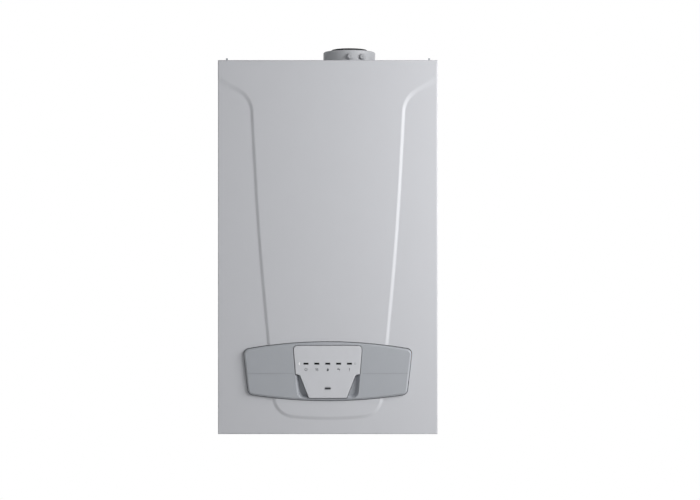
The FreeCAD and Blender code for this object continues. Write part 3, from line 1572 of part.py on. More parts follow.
def return_block():
    rad, tall, bore, x = d.fill_radius, d.fill_tall, d.fill_bore, d.fill_offset
    stand = turned("fill_stand", [(0, 0), (rad, 0), (rad, tall, bore), (0, tall)], x, fill_y, plate_top)
    level = plate_top + tall / 2
    arm = cylinder("fill_arm", d.fill_neck, block_face - fill_y, x, block_face, level, "front")
    way = cylinder("fill_way", bore, tall * d.bore_share, x, fill_y, plate_top)
    casting = water_block("return_casting", 1)
    node("return_block", cut("return_block", fuse("return_body", casting, stand, arm), way))
    under = d.frame_sheet + d.knob_gap
    reach = under + tall * d.spindle_share
    spot = x, fill_y, plate_top - under, "down"
    knob("fill_knob", d.fill_knob_radius, d.fill_knob_depth, d.fill_spindle, reach, *spot)


def water_sensors():
    rad, tall = d.sensor_radius, d.sensor_tall
    tip = tall * d.seat_share
    cell = [(0, 0), (rad, 0), (rad, tall, rad * d.trim_share), (rad / 2, tall), (rad / 2, tip), (0, tip)]
    spots = (d.block_near + rad, -(d.block_near + rad))
    group("water_sensors", [turned("water_sensor", cell, spot, stub_y, block_top) for spot in spots])


def condensate_trap():
    cup, lip, thick, spout = d.trap_radius, d.trap_cap, d.trap_wall, d.trap_spout
    bore, hole = d.trap_spout_bore, d.hose_bore
    tall = trap_top - trap_low
    neck = tall - d.trap_cap_tall
    end = bottom + d.stub_end - trap_low
    profile = [(hole, tall), (lip, tall, thick), (lip, neck), (cup, neck), (cup, 0, spout / 2), (spout, 0),
               (spout, end), (bore, end), (bore, thick), (cup - thick, thick), (cup - thick, tall - thick),
               (hole, tall - thick)]
    node("condensate_trap", turned("condensate_trap", profile, exch_x, flue_y, trap_low))


def condensate_hose():
    length = sump_top - d.sump_tall - trap_top
    count = int(d.hose_ribs.value)
    step = length / (2 * count + 1)
    skin = d.hose_radius
    crest = skin + d.hose_rib
    ribs = []
    for i in range(count):
        low, high = step * (2 * i + 1), step * (2 * i + 2)
        ribs += [(skin, low), (crest, low), (crest, high), (skin, high)]
    profile = [(d.hose_bore, 0), (skin, 0)] + ribs + [(skin, length), (d.hose_bore, length)]
    node("condensate_hose", turned("condensate_hose", profile, exch_x, flue_y, trap_top))


# Controls.
def control_plan(inset, curve=None):
    """The control box seen from the front, drawn in by an inset."""
    wide = control_half_width - inset
    corners = rectangle(-wide, control_low + inset, wide, control_high - inset)
    return [corner + (curve,) for corner in corners] if curve else corners


def control_box():
    wide, thick, deep = control_half_width, d.control_wall, d.control_depth
    tub = new_body("control_tub")
    plan = control_plan(as_size(0), d.control_round)
    pad(tub, outline(new_sketch(tub, "XZ_Plane", -control_rear), plan), deep)
    inner = control_plan(thick, d.control_round - thick)
    pocket(tub, outline(new_sketch(tub, "XZ_Plane", -control_rear), inner), deep - thick, back=True)
    arms = []
    front = control_rear - d.bracket_depth
    rise = control_low + d.bracket_rise
    middle = control_rear - d.bracket_depth / 2, control_low + d.bracket_rise / 2
    for side, away in ((-1, "left"), (1, "right")):
        outside = (wide + d.bracket_sheet) * side
        across = (wide, outside) if side > 0 else (outside, -wide)
        arms.append(box("bracket_plate", across, (front, control_rear), (plate_top, rise)))
        arms.append(cylinder("bracket_pivot", d.pivot_radius, d.pivot_length, outside, *middle, away))
    node("control_box", fuse("control_box", tub, *arms))
    lid = new_body("control_box_lid")
    seat = new_sketch(lid, "XZ_Plane", -(control_rear + d.control_lid))
    pad(lid, outline(seat, plan), d.control_lid)
    node("control_box_lid", lid)


def main_board():
    board = new_body("main_board")
    level = -(fascia_back + d.control_wall + d.board_stand)
    area = control_plan(d.board_inset)
    pad(board, outline(new_sketch(board, "XZ_Plane", level), area), d.board_sheet, back=True)
    posts = new_sketch(board, "XZ_Plane", level)
    edge = d.board_inset + d.board_post_inset
    circles(posts, control_plan(edge), d.board_post)
    pad(board, posts, d.board_stand)
    chips = new_sketch(board, "XZ_Plane", level - d.board_sheet)
    count = int(d.chip_count.value)
    reach = control_half_width - edge
    middle = (control_high + control_low) / 2
    tall = (control_high - control_low) / 2 - edge
    for i in range(count):
        left = reach * (2 * i / count - 1)
        outline(chips, rectangle(left, middle - tall / 2, left + d.chip_tall, middle + tall / 2))
    pad(board, chips, d.chip_tall, back=True)
    node("main_board", board)


def cable_grommets():
    lip, rad, hole, gauge = d.grommet_lip, d.grommet_radius, d.grommet_bore, d.frame_sheet
    tall = gauge + d.grommet_tall
    profile = [(hole, 0), (rad, 0), (rad, gauge), (lip, gauge), (lip, tall, d.grommet_tall * d.trim_share),
               (hole, tall)]
    group("cable_grommets", [turned("cable_grommet", profile, x, y, plate_top - gauge)
                             for x, y in grommet_spots()])


# Interface module.
def stadium(z, wide, tall):
    """A slot on the middle line with almost half-round ends."""
    curve = tall * d.slot_share
    corners = rectangle(-wide / 2, z - tall / 2, wide / 2, z + tall / 2)
    return [corner + (curve,) for corner in corners]


def lamp_places():
    count = int(d.lamp_count.value)
    return [d.lamp_pitch * (i - (count - 1) / 2) for i in range(count)]


def module_front():
    shell = new_body("module_front")
    front, thick = fascia_face, d.module_wall
    blank = module_outline(new_sketch(shell, "XZ_Plane", -module_seat), as_size(0))
    blank = pad(shell, blank, module_seat - front)
    round_edges(shell, blank, d.module_edge, lambda edge: flat_at(edge, "Y", front.value))
    inner = module_outline(new_sketch(shell, "XZ_Plane", -module_seat), thick)
    pocket(shell, inner, module_seat - front - thick, back=True)
    slots = new_sketch(shell, "XZ_Plane", -front)
    wide, tall = d.lamp_width / 2 + d.lamp_play, d.lamp_tall / 2 + d.lamp_play
    for x in lamp_places():
        outline(slots, rectangle(x - wide, lamp_z - tall, x + wide, lamp_z + tall))
    play = d.button_play * 2
    outline(slots, stadium(button_z, d.button_width + play, d.button_tall + play))
    pocket(shell, slots, thick * 2)
    node("module_front", shell)


def module_back():
    cover = new_body("module_back")
    plan = module_outline(new_sketch(cover, "XZ_Plane", -module_rear), as_size(0))
    pad(cover, plan, d.module_back)
    node("module_back", cover)


def light_guides():
    guides = []
    for x in lamp_places():
        guide = new_body("light_guide")
        wide, tall = d.lamp_width / 2, d.lamp_tall / 2
        bar = outline(new_sketch(guide, "XZ_Plane", -module_skin), rectangle(-wide, -tall, wide, tall))
        pad(guide, bar, d.module_wall)
        wide, tall = wide + d.lamp_flange, tall + d.lamp_flange
        rim = outline(new_sketch(guide, "XZ_Plane", -module_skin), rectangle(-wide, -tall, wide, tall))
        pad(guide, rim, d.lamp_flange_tall, back=True)
        guides.append(place(guide, x, 0, lamp_z))
    group("light_guides", guides)


def module_board():
    board = new_body("module_board")
    level = module_skin + d.lamp_flange_tall
    edge = d.well_half_bottom - d.module_gap - d.module_wall
    reach = d.lamp_pitch * d.board_share
    area = rectangle(-edge, lamp_z - reach, edge, lamp_z + reach)
    pad(board, outline(new_sketch(board, "XZ_Plane", -level), area), d.board_sheet, back=True)
    back = level + d.board_sheet
    spots = [(-edge / 2, lamp_z), (edge / 2, lamp_z)]
    stems = circles(new_sketch(board, "XZ_Plane", -back), spots, d.board_post)
    pad(board, stems, module_seat - back, back=True)
    node("module_board", board)


def module_button():
    button = new_body("module_button")
    cap = stadium(button_z, d.button_width, d.button_tall)
    cap = outline(new_sketch(button, "XZ_Plane", -module_skin), cap)
    pad(button, cap, d.module_wall + d.button_stand)
    grow = d.button_rim * 2
    rim = stadium(button_z, d.button_width + grow, d.button_tall + grow)
    pad(button, outline(new_sketch(button, "XZ_Plane", -module_skin), rim), d.button_flange, back=True)
    stem = circles(new_sketch(button, "XZ_Plane", -module_skin), [(0, button_z)], d.button_stem)
    room = module_seat - module_skin - d.button_travel - d.button_play
    pad(button, stem, room, back=True)
    node("module_button", button)


def finish():
    """Checks every object and writes one file for each sub-part."""
    doc.recompute()
    for item in doc.Objects:
        bad = [state for state in item.State if state in ("Invalid", "Error")]
        if bad:
            raise RuntimeError("%s is %s" % (item.Label, bad))
    os.makedirs("parts", exist_ok=True)
    for label, item in nodes.items():
        shape = item.Shape
        if shape.isNull() or not shape.isValid() or not shape.Solids:
            raise RuntimeError("%s has no sound shape" % label)
        shape.exportStep("parts/%s.step" % label)


back_frame()
side_panel("left_side_panel", -1)
side_panel("right_side_panel", 1)
top_plate()
bottom_plate()
cover_gasket()
cover_screws()
front_cover()
flue_collar()
flue_socket()
flue_lip_seal()
collar_screws()
flue_pipe()
expansion_vessel()
vessel_pipe()
exchanger_rails()
exchanger_shell()
exchanger_coil()
burner_door()
burner_tube()
door_nuts()
burner_electrodes()
condensate_sump()
fan_housing()
fan_impeller()
fan_motor()
gas_mixer()
air_gas_manifold()
gas_valve()
gas_pipes()
flow_block()
diverter()
threaded_stubs("large_stubs", LARGE_STUB_STEPS, d.stub_large, d.stub_large_bore)
threaded_stubs("small_stubs", SMALL_STUB_STEPS, d.stub_small, d.stub_small_bore)
plate_exchanger()
pump_housing()
pump_motor()
pump_rotor()
water_pipes()
relief_valve()
return_block()
water_sensors()
condensate_trap()
condensate_hose()
control_box()
main_board()
cable_grommets()
fascia()
module_front()
module_back()
light_guides()
module_board()
module_button()
finish()
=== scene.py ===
import json
import math

import bmesh
import bpy
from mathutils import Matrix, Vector


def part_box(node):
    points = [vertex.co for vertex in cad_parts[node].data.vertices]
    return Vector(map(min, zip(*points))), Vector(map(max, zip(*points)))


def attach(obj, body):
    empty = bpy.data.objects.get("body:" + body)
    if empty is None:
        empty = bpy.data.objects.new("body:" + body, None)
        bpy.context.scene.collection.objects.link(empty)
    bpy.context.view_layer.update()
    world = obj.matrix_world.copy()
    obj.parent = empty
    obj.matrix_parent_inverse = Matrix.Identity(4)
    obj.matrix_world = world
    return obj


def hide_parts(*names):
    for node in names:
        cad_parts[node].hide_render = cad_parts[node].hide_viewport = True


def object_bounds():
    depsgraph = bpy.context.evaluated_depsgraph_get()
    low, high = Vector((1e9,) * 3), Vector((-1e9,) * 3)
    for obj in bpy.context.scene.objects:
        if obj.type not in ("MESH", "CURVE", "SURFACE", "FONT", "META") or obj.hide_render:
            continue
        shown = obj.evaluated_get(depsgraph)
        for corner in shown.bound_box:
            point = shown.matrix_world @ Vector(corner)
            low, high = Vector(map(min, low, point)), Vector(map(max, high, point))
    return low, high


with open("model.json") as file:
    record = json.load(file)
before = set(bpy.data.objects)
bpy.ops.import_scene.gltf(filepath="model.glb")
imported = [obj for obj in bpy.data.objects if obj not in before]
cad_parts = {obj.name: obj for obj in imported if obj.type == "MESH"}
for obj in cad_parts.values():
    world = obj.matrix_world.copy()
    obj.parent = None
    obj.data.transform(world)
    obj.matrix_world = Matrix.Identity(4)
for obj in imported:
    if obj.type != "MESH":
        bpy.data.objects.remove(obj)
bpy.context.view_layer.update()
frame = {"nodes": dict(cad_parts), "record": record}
nodes = frame["nodes"]
scene = bpy.context.scene
scene.view_settings.view_transform = "Standard"
MM = 0.001
WELD = 1e-6


# Finishes

GRAIN_DETAIL = 3.0
GRAIN_HEIGHT = 1.0 * MM
CLOUD_RATIO = 60
GLOSS_SPREAD = 0.05
GLOSS_LEAST = 0.05
BRUSHED = (1, 12, 1)
# Finish for the printed marks and for the marks of painted highlight and painted shade.
INK_AND_PAINTED_LIGHT = dict(rough=0.5, grain=2600.0)
LOOKS = {
    "casing_paint": dict(srgb=(196, 197, 201), rough=0.48, grain=1400.0, bump=0.05, vary=0.01),
    "zinc_sheet": dict(srgb=(160, 164, 168), rough=0.58, metal=0.75, grain=160.0, bump=0.03,
                       vary=0.08, cells=90.0),
    "fascia_plastic": dict(srgb=(164, 167, 172), rough=0.5, grain=2600.0, bump=0.10, vary=0.02),
    "module_plastic": dict(srgb=(200, 201, 205), rough=0.45, grain=2600.0, bump=0.06, vary=0.02),
    "lamp_window": dict(srgb=(10, 10, 11), rough=0.3, grain=800.0, bump=0.01, specular=0.12),
    "button_plastic": dict(srgb=(142, 143, 147), rough=0.4, grain=1800.0, bump=0.04),
    "cast_light_alloy": dict(srgb=(182, 183, 186), rough=0.6, metal=0.1, grain=700.0, bump=0.12,
                             vary=0.05, specular=0.25),
    "flue_plastic": dict(srgb=(205, 206, 208), rough=0.4, grain=900.0, bump=0.04),
    "seal_rubber": dict(srgb=(13, 13, 14), rough=0.75, grain=1500.0, bump=0.15, vary=0.2,
                        specular=0.1),
    "foam_rubber": dict(srgb=(48, 48, 49), rough=0.95, grain=1200.0, bump=0.4, vary=0.25,
                        cells=900.0),
    "zinc_fastener": dict(srgb=(190, 190, 186), rough=0.3, metal=1.0, grain=900.0, bump=0.03,
                          vary=0.05),
    "port_plastic": dict(srgb=(190, 191, 194), rough=0.45, grain=1500.0, bump=0.04),
    "stainless": dict(srgb=(184, 184, 184), rough=0.32, metal=1.0, grain=500.0, bump=0.03,
                      vary=0.08, stretch=BRUSHED),
    "electrode_ceramic": dict(srgb=(236, 233, 226), rough=0.15, grain=700.0, coat=0.5),
    "vessel_paint": dict(srgb=(150, 28, 22), rough=0.35, grain=900.0, bump=0.05, vary=0.05),
    "copper_tube": dict(srgb=(196, 122, 88), rough=0.35, metal=1.0, grain=600.0, bump=0.03,
                        vary=0.15),
    "brass_body": dict(srgb=(190, 158, 90), rough=0.38, metal=1.0, grain=900.0, bump=0.08,
                       vary=0.08),
    "block_composite": dict(srgb=(30, 30, 33), rough=0.5, grain=1600.0, bump=0.12, vary=0.1),
    "motor_black": dict(srgb=(34, 34, 36), rough=0.5, grain=2200.0, bump=0.10, vary=0.1),
    "pump_iron": dict(srgb=(60, 60, 62), rough=0.6, metal=0.2, grain=1100.0, bump=0.25, vary=0.12),
    "knob_red": dict(srgb=(176, 26, 20), rough=0.35, grain=1500.0, bump=0.04),
    "knob_blue": dict(srgb=(30, 72, 160), rough=0.35, grain=1500.0, bump=0.04),
    "trap_plastic": dict(srgb=(222, 224, 224), rough=0.4, grain=900.0, bump=0.03),
    "circuit_board": dict(srgb=(24, 92, 48), rough=0.4, grain=400.0, bump=0.10, vary=0.25,
                          cells=300.0),
    "mark_grey": dict(INK_AND_PAINTED_LIGHT, srgb=(70, 72, 76), specular=0.2),
    "mark_pale": dict(INK_AND_PAINTED_LIGHT, srgb=(158, 160, 164)),
    # painted highlight: pure white for the sickle left of the lamps
    "highlight_white": dict(INK_AND_PAINTED_LIGHT, srgb=(250, 250, 250)),
    # painted shade: a darker grey for the line along the fascia's crease
    "crease_shade": dict(INK_AND_PAINTED_LIGHT, srgb=(140, 142, 147)),
    # painted shade: near black for the shadow line across the button
    "shade_bar_dark": dict(INK_AND_PAINTED_LIGHT, srgb=(40, 41, 44), specular=0.2),
}


def linear(*srgb):
    """An 8-bit screen colour as linear values, by the sRGB curve."""
    parts = [part / 255 for part in srgb]
    return [part / 12.92 if part <= 0.04045 else ((part + 0.055) / 1.055) ** 2.4 for part in parts]


def node_of(tree, kind, **values):
    """A new shader node with values on its inputs."""
    node = tree.nodes.new(kind)
    for socket, value in values.items():
        node.inputs[socket].default_value = value
    return node


def finish_of(name, srgb, rough, metal=0.0, grain=900.0, bump=0.02, vary=0.04, stretch=(1, 1, 1),
              coat=0.0, cells=0.0, specular=0.5):
    """A surface with a fine grain in its height and gloss, and clouds or cells in its colour."""
    color = linear(*srgb)
    material = bpy.data.materials.new(name)
    material.use_nodes = True
    tree = material.node_tree
    join = tree.links.new
    shader = tree.nodes["Principled BSDF"]
    shader.inputs["Metallic"].default_value = metal
    shader.inputs["Coat Weight"].default_value = coat
    shader.inputs["Specular IOR Level"].default_value = specular
    place = tree.nodes.new("ShaderNodeTexCoord")
    scale = node_of(tree, "ShaderNodeMapping", Scale=stretch)
    join(place.outputs["Object"], scale.inputs["Vector"])
    noise = node_of(tree, "ShaderNodeTexNoise", Scale=grain, Detail=GRAIN_DETAIL)
    join(scale.outputs["Vector"], noise.inputs["Vector"])
    if cells:
        broad = node_of(tree, "ShaderNodeTexVoronoi", Scale=cells)
        spread = broad.outputs["Color"]
    else:
        broad = node_of(tree, "ShaderNodeTexNoise", Scale=grain / CLOUD_RATIO)
        spread = broad.outputs["Fac"]
    join(scale.outputs["Vector"], broad.inputs["Vector"])
    tint = tree.nodes.new("ShaderNodeMix")
    tint.data_type = "RGBA"
    tint.inputs["A"].default_value = [part * (1 - vary) for part in color] + [1.0]
    tint.inputs["B"].default_value = [min(part * (1 + vary), 1.0) for part in color] + [1.0]
    join(spread, tint.inputs["Factor"])
    join(tint.outputs["Result"], shader.inputs["Base Color"])
    gloss = tree.nodes.new("ShaderNodeMapRange")
    gloss.inputs["To Min"].default_value = max(rough - GLOSS_SPREAD, GLOSS_LEAST)
    gloss.inputs["To Max"].default_value = min(rough + GLOSS_SPREAD, 1.0)
    join(noise.outputs["Fac"], gloss.inputs["Value"])
    join(gloss.outputs["Result"], shader.inputs["Roughness"])
    height = node_of(tree, "ShaderNodeBump", Strength=bump, Distance=GRAIN_HEIGHT)
    join(noise.outputs["Fac"], height.inputs["Height"])
    join(height.outputs["Normal"], shader.inputs["Normal"])
    return material


FINISHES = {name: finish_of(name, **look) for name, look in LOOKS.items()}

for entry in frame["record"]["subparts"]:
    mesh = nodes[entry["node"]].data
    mesh.materials.clear()
    mesh.materials.append(FINISHES[entry["material_slot"]])


# Mesh helpers

def prism(build, front, back):
    """A closed prism between two outlines of as many points."""
    near = [build.verts.new(point) for point in front]
    far = [build.verts.new(point) for point in back]
    build.faces.new(near)
    build.faces.new(far[::-1])
    for i in range(len(near)):
        j = (i + 1) % len(near)
        build.faces.new((near[i], far[i], far[j], near[j]))


def solid_of(name, build, material):
    """A new object made from what has been built."""
    bmesh.ops.recalc_face_normals(build, faces=build.faces)
    mesh = bpy.data.meshes.new(name)
    build.to_mesh(mesh)
    build.free()
    mesh.materials.append(material)
    solid = bpy.data.objects.new(name, mesh)
    scene.collection.objects.link(solid)
    return solid


def piece_of(name, build, material, body):
    """A new piece that moves with a body."""
    piece = solid_of(name, build, material)
    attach(piece, body)
    return piece


def cut_away(piece, cutters):
    """Cuts solids out of a piece and removes them."""
    for cutter in cutters:
        step = piece.modifiers.new("cut", "BOOLEAN")
        step.object = cutter
        step.operation = "DIFFERENCE"
        step.solver = "EXACT"
    whole = piece.evaluated_get(bpy.context.evaluated_depsgraph_get())
    mesh = bpy.data.meshes.new_from_object(whole)
    piece.modifiers.clear()
    piece.data = mesh
    for cutter in cutters:
        bpy.data.objects.remove(cutter)


def welded(node):
    """A node's mesh with the seams between its faces closed."""
    build = bmesh.new()
    build.from_mesh(nodes[node].data)
    bmesh.ops.remove_doubles(build, verts=build.verts, dist=WELD)
    return build


def solids_of(node):
    """The points of each separate solid of a node."""
    build = welded(node)
    seen = set()
    groups = []
    for start in build.verts:
        if start in seen:
            continue
        seen.add(start)
        group = [start]
        for point in group:
            for edge in point.link_edges:
                other = edge.other_vert(point)
                if other not in seen:
                    seen.add(other)
                    group.append(other)
        groups.append([point.co.copy() for point in group])
    build.free()
    return groups


def corners(points):
    """The low and the high corner of a set of points."""
    low = Vector([min(point[axis] for point in points) for axis in range(3)])
    high = Vector([max(point[axis] for point in points) for axis in range(3)])
    return low, high


# Front cover, pressed from one sheet with soft edges round its raised field. Its sizes are in
# millimetres. Each drop is measured from the cover's top; the rises of foot and sole are measured
# from its bottom, and the field's rise from the flat front round it.

COVER_SHEET = 1.0
COVER_LIP = 12.0
COVER_RIM = 2.5
FLAT_STRIP = 1.0
RIM_STEPS = 5
ARC_STEPS = 14
FIELD_RISE = 2.6
FIELD_BEVEL = 5.0
FIELD_SOFT = 0.3
FIELD_STEPS = 10
FIELD_FADE = 2.5
FIELD_FALL = 0.65
SHOULDER_DROP = 47.0
CORNER_HALF, CORNER_DROP, CORNER_ROUND = 159.5, 78.0, 50.0
WAIST_HALF, WAIST_DROP, WAIST_ROUND = 144.4, 359.0, 6000.0
FOOT_HALF, FOOT_RISE, FOOT_ROUND = 110.0, 36.8, 45.1
SOLE_RISE, SOLE_ROUND = 26.8, 726.0
WINDOW_MARGIN = 20.0
WALL_TILT = 0.01
POINT_DIGITS = 3
MOUTH_DEEP = 3 * COVER_SHEET
CUT_REACH = 12.0
CUT_OVERRUN = 0.01
SLOT_HALF, SLOT_DEEP = 3.0, 9.0
EAR_HALF, EAR_DEEP, EAR_TALL = 7.6, 2.0, 4.0
SHARP_ANGLE = math.radians(30)

cover_low, cover_high = [Vector(corner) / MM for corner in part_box("front_cover")]


def rounded_path(bends):
    """A line through bends given as x, z and radius, each turned into an arc."""
    points = [bends[0][:2]]
    for before, (x, z, radius), after in zip(bends, bends[1:], bends[2:]):
        here = Vector((x, z))
        behind = (Vector(before[:2]) - here).normalized()
        ahead = (Vector(after[:2]) - here).normalized()
        opening = behind.angle(ahead) / 2
        center = here + (behind + ahead).normalized() * radius / math.sin(opening)
        reach = radius / math.tan(opening)
        first, last = [here + way * reach - center for way in (behind, ahead)]
        start = math.atan2(first.y, first.x)
        turn = math.remainder(math.atan2(last.y, last.x) - start, math.tau)
        for i in range(ARC_STEPS + 1):
            angle = start + turn * i / ARC_STEPS
            across, up = radius * math.cos(angle), radius * math.sin(angle)
            points.append((center.x + across, center.y + up))
    return points + [bends[-1][:2]]


def field_path(edge, offset):
    """The line round the raised field from left edge to right, moved inwards by an offset."""
    top, bottom = cover_high.z, cover_low.z
    left = [
        (-edge, top - SHOULDER_DROP + offset * FIELD_FADE, 0.0),
        (-(CORNER_HALF - offset), top - CORNER_DROP + offset * FIELD_FALL, CORNER_ROUND + offset),
        (-(WAIST_HALF - offset), top - WAIST_DROP, WAIST_ROUND),
        (-(FOOT_HALF - offset), bottom + FOOT_RISE + offset, FOOT_ROUND - offset),
    ]
    right = [(-x, z, radius) for x, z, radius in left[::-1]]
    return rounded_path(left + [(0.0, bottom + SOLE_RISE + offset, SOLE_ROUND)] + right)


def field_steps():
    """How far in and how high each line across the field's edge lies."""
    wide = FIELD_BEVEL * (1 + 2 * FIELD_SOFT)
    first = -FIELD_BEVEL * FIELD_SOFT
    steps = [(first - FLAT_STRIP, 0.0)]
    for i in range(FIELD_STEPS + 1):
        share = i / FIELD_STEPS
        steps.append((first + wide * share, FIELD_RISE * share * share * (3 - 2 * share)))
    return steps + [(first + wide + FLAT_STRIP, FIELD_RISE)]


def cover_block(inset, rim, rear):
    """A closed block with the pressed front, drawn in by an inset."""
    build = bmesh.new()
    land = cover_low.y + FIELD_RISE + inset
    edge = cover_high.x - inset - rim - FLAT_STRIP
    high = cover_high.z - inset - rim - FLAT_STRIP
    low = cover_low.z + inset + rim + FLAT_STRIP

    def spot(x, y, z):
        return build.verts.new((x * MM, y * MM, z * MM))

    rings = []
    for offset, rise in field_steps():
        rings.append([spot(x, land - rise, z) for x, z in field_path(edge, offset + inset)])
    crown = land - FIELD_RISE
    upper = [spot(side * edge, crown, high) for side in (-1, 1)]
    lower = [spot(side * edge, land, low) for side in (-1, 1)]
    build.faces.new([upper[0]] + rings[-1] + [upper[1]])
    build.faces.new(rings[0] + lower[::-1])
    for outer, inner in zip(rings, rings[1:]):
        for i in range(len(outer) - 1):
            build.faces.new((outer[i], outer[i + 1], inner[i + 1], inner[i]))

    # The rim: the front's edge, with the ways in which each point moves out
    loop = [(upper[0], -1, 1)] + [(ring[0], -1, 0) for ring in rings[::-1]] + [(lower[0], -1, -1)]
    loop += [(lower[1], 1, -1)] + [(ring[-1], 1, 0) for ring in rings] + [(upper[1], 1, 1)]
    bends = [math.pi / 2 * i / RIM_STEPS for i in range(RIM_STEPS + 1)]
    steps = [(FLAT_STRIP + rim * math.sin(bend), rim * (1 - math.cos(bend))) for bend in bends]
    last = [vertex for vertex, x_way, z_way in loop]
    for out, back in steps + [(FLAT_STRIP + rim, None)]:
        ring = []
        for vertex, x_way, z_way in loop:
            x, y, z = vertex.co / MM
            depth = rear if back is None else y + back
            ring.append(spot(x + x_way * out, depth, z + z_way * out))
        for i in range(len(ring)):
            j = (i + 1) % len(ring)
            build.faces.new((last[i], last[j], ring[j], ring[i]))
        last = ring
    build.faces.new(last)
    return build


def extruded(build, outline, depths):
    """A prism from an outline in x and z, between two depths in millimetres."""
    prism(build, *[[(x * MM, y * MM, z * MM) for x, z in outline] for y in depths])


def box_between(build, first, last):
    """A plain block between two corners in millimetres."""
    (ax, ay, az), (bx, by, bz) = first, last
    extruded(build, [(ax, az), (bx, az), (bx, bz), (ax, bz)], (ay, by))


def window_outline():
    """The outline of the cover's window, read from the cover's own walls."""
    build = welded("front_cover")
    build.normal_update()
    center = (cover_low.z + cover_high.z) / 2
    wide = cover_high.x - WINDOW_MARGIN
    tall = (cover_high.z - cover_low.z) / 2 - WINDOW_MARGIN
    spots = set()
    for wall in build.faces:
        x, y, z = wall.calc_center_median() / MM
        if abs(x) < wide and abs(z - center) < tall and abs(wall.normal.y) < WALL_TILT:
            for point in wall.verts:
                x, y, z = point.co / MM
                spots.add((round(x, POINT_DIGITS), round(z, POINT_DIGITS)))
    build.free()
    middle = sum(z for x, z in spots) / len(spots)
    return sorted(spots, key=lambda spot: math.atan2(spot[1] - middle, spot[0]))


def cover_cutters(paint):
    """What comes off the pressed block: hollow, mouth at the back, window and room for screws."""
    rear, foot = cover_high.y, cover_low.z
    hollow = cover_block(COVER_SHEET, COVER_RIM - COVER_SHEET, rear - COVER_SHEET)
    mouth, window, slots, gaps = [bmesh.new() for i in range(4)]
    reach = COVER_SHEET + COVER_LIP
    wide, high, low = cover_high.x - reach, cover_high.z - reach, foot + reach
    box_between(mouth, (-wide, rear - MOUTH_DEEP, low), (wide, rear + CUT_REACH, high))
    extruded(window, window_outline(), (cover_low.y - CUT_REACH, cover_low.y + CUT_REACH))
    screw_low, screw_high = [Vector(corner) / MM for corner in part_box("cover_screws")]
    screw_x = screw_high.x - (screw_high.y - screw_low.y) / 2
    back = rear + COVER_SHEET
    sheet_top = foot + COVER_SHEET
    for x in (-screw_x, screw_x):
        box_between(slots, (x - SLOT_HALF, rear - SLOT_DEEP, foot - COVER_SHEET),
                    (x + SLOT_HALF, back, sheet_top + CUT_OVERRUN))
        box_between(gaps, (x - EAR_HALF, rear - EAR_DEEP, sheet_top),
                    (x + EAR_HALF, back, sheet_top + EAR_TALL))
    builds = {"hollow": hollow, "mouth": mouth, "window": window, "slots": slots, "gaps": gaps}
    return [solid_of("cover_" + name, build, paint) for name, build in builds.items()]


def pressed_cover():
    """The cover as a bent sheet, in place of the plainer one."""
    paint = FINISHES["casing_paint"]
    block = cover_block(0.0, COVER_RIM, cover_high.y)
    piece = piece_of("pressed_cover", block, paint, "front_cover")
    cut_away(piece, cover_cutters(paint))
    piece.data.shade_smooth()
    piece.data.set_sharp_from_angle(angle=SHARP_ANGLE)
    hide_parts("front_cover")


pressed_cover()


# Screw threads on the pipe stubs

THREAD_PITCH = 1.814 * MM
THREAD_DEPTH = 1.16 * MM
THREAD_NECK = 6.0 * MM
THREAD_ROWS = 4
THREAD_COLUMNS = 40


def threaded_stub(build, points):
    """One stub, with a thread from its lower end up to a plain neck."""
    low, high = corners(points)
    axis = (low + high) / 2
    radius = (high.x - low.x) / 2
    bore = min(math.hypot(point.x - axis.x, point.y - axis.y) for point in points)
    turns = [math.tau * i / THREAD_COLUMNS for i in range(THREAD_COLUMNS)]

    def surface(z, turn):
        if z > high.z - THREAD_NECK:
            return radius
        phase = (z / THREAD_PITCH - turn / math.tau) % 1
        lead_in = radius - THREAD_DEPTH + (z - low.z)
        return min(lead_in, radius - THREAD_DEPTH * abs(2 * phase - 1))

    def ring(z, reaches):
        spots = [(axis.x + reach * math.cos(turn), axis.y + reach * math.sin(turn), z)
                 for turn, reach in zip(turns, reaches)]
        return [build.verts.new(spot) for spot in spots]

    rows = round((high.z - low.z) / THREAD_PITCH * THREAD_ROWS)
    levels = [low.z + (high.z - low.z) * i / rows for i in range(rows + 1)]
    rings = [ring(z, [surface(z, turn) for turn in turns]) for z in levels]
    rings += [ring(z, [bore] * THREAD_COLUMNS) for z in (high.z, low.z)]
    for lower, upper in zip(rings, rings[1:] + rings[:1]):
        for i in range(THREAD_COLUMNS):
            j = (i + 1) % THREAD_COLUMNS
            build.faces.new((lower[i], lower[j], upper[j], upper[i]))


def threaded(name, node):
    """Stubs in place of a node's plain ones."""
    build = bmesh.new()
    for points in solids_of(node):
        threaded_stub(build, points)
    piece = piece_of(name, build, FINISHES["brass_body"], "casing")
    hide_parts(node)


threaded("large_threaded_stubs", "large_stubs")
threaded("small_threaded_stubs", "small_stubs")


# Cross recesses in the screw heads

RECESS_DEPTH = 1.2 * MM
RECESS_OVERRUN = 1.0 * MM
RECESS_ARM = 2.6 * MM
RECESS_HALF = 0.55 * MM


def cross_outline():
    """A cross with four even arms."""
    arm = [(RECESS_ARM, -RECESS_HALF), (RECESS_ARM, RECESS_HALF), (RECESS_HALF, RECESS_HALF)]
    outline = []
    for quarter in range(4):
        outline += arm
        arm = [(-y, x) for x, y in arm]
    return outline


def recessed(name, node, upward):
    """Screws in place of a node's plain ones, with a cross recess in each head."""
    metal = FINISHES["zinc_fastener"]
    build = bmesh.new()
    for points in solids_of(node):
        low, high = corners(points)
        axis = (low + high) / 2
        head, way = (high.z, 1) if upward else (low.z, -1)
        levels = head - way * RECESS_DEPTH, head + way * RECESS_OVERRUN
        prism(build, *[[(axis.x + x, axis.y + y, z) for x, y in cross_outline()] for z in levels])
    piece = piece_of(name, welded(node), metal, "casing")
    cut_away(piece, [solid_of(name + "_cut", build, metal)])
    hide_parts(node)


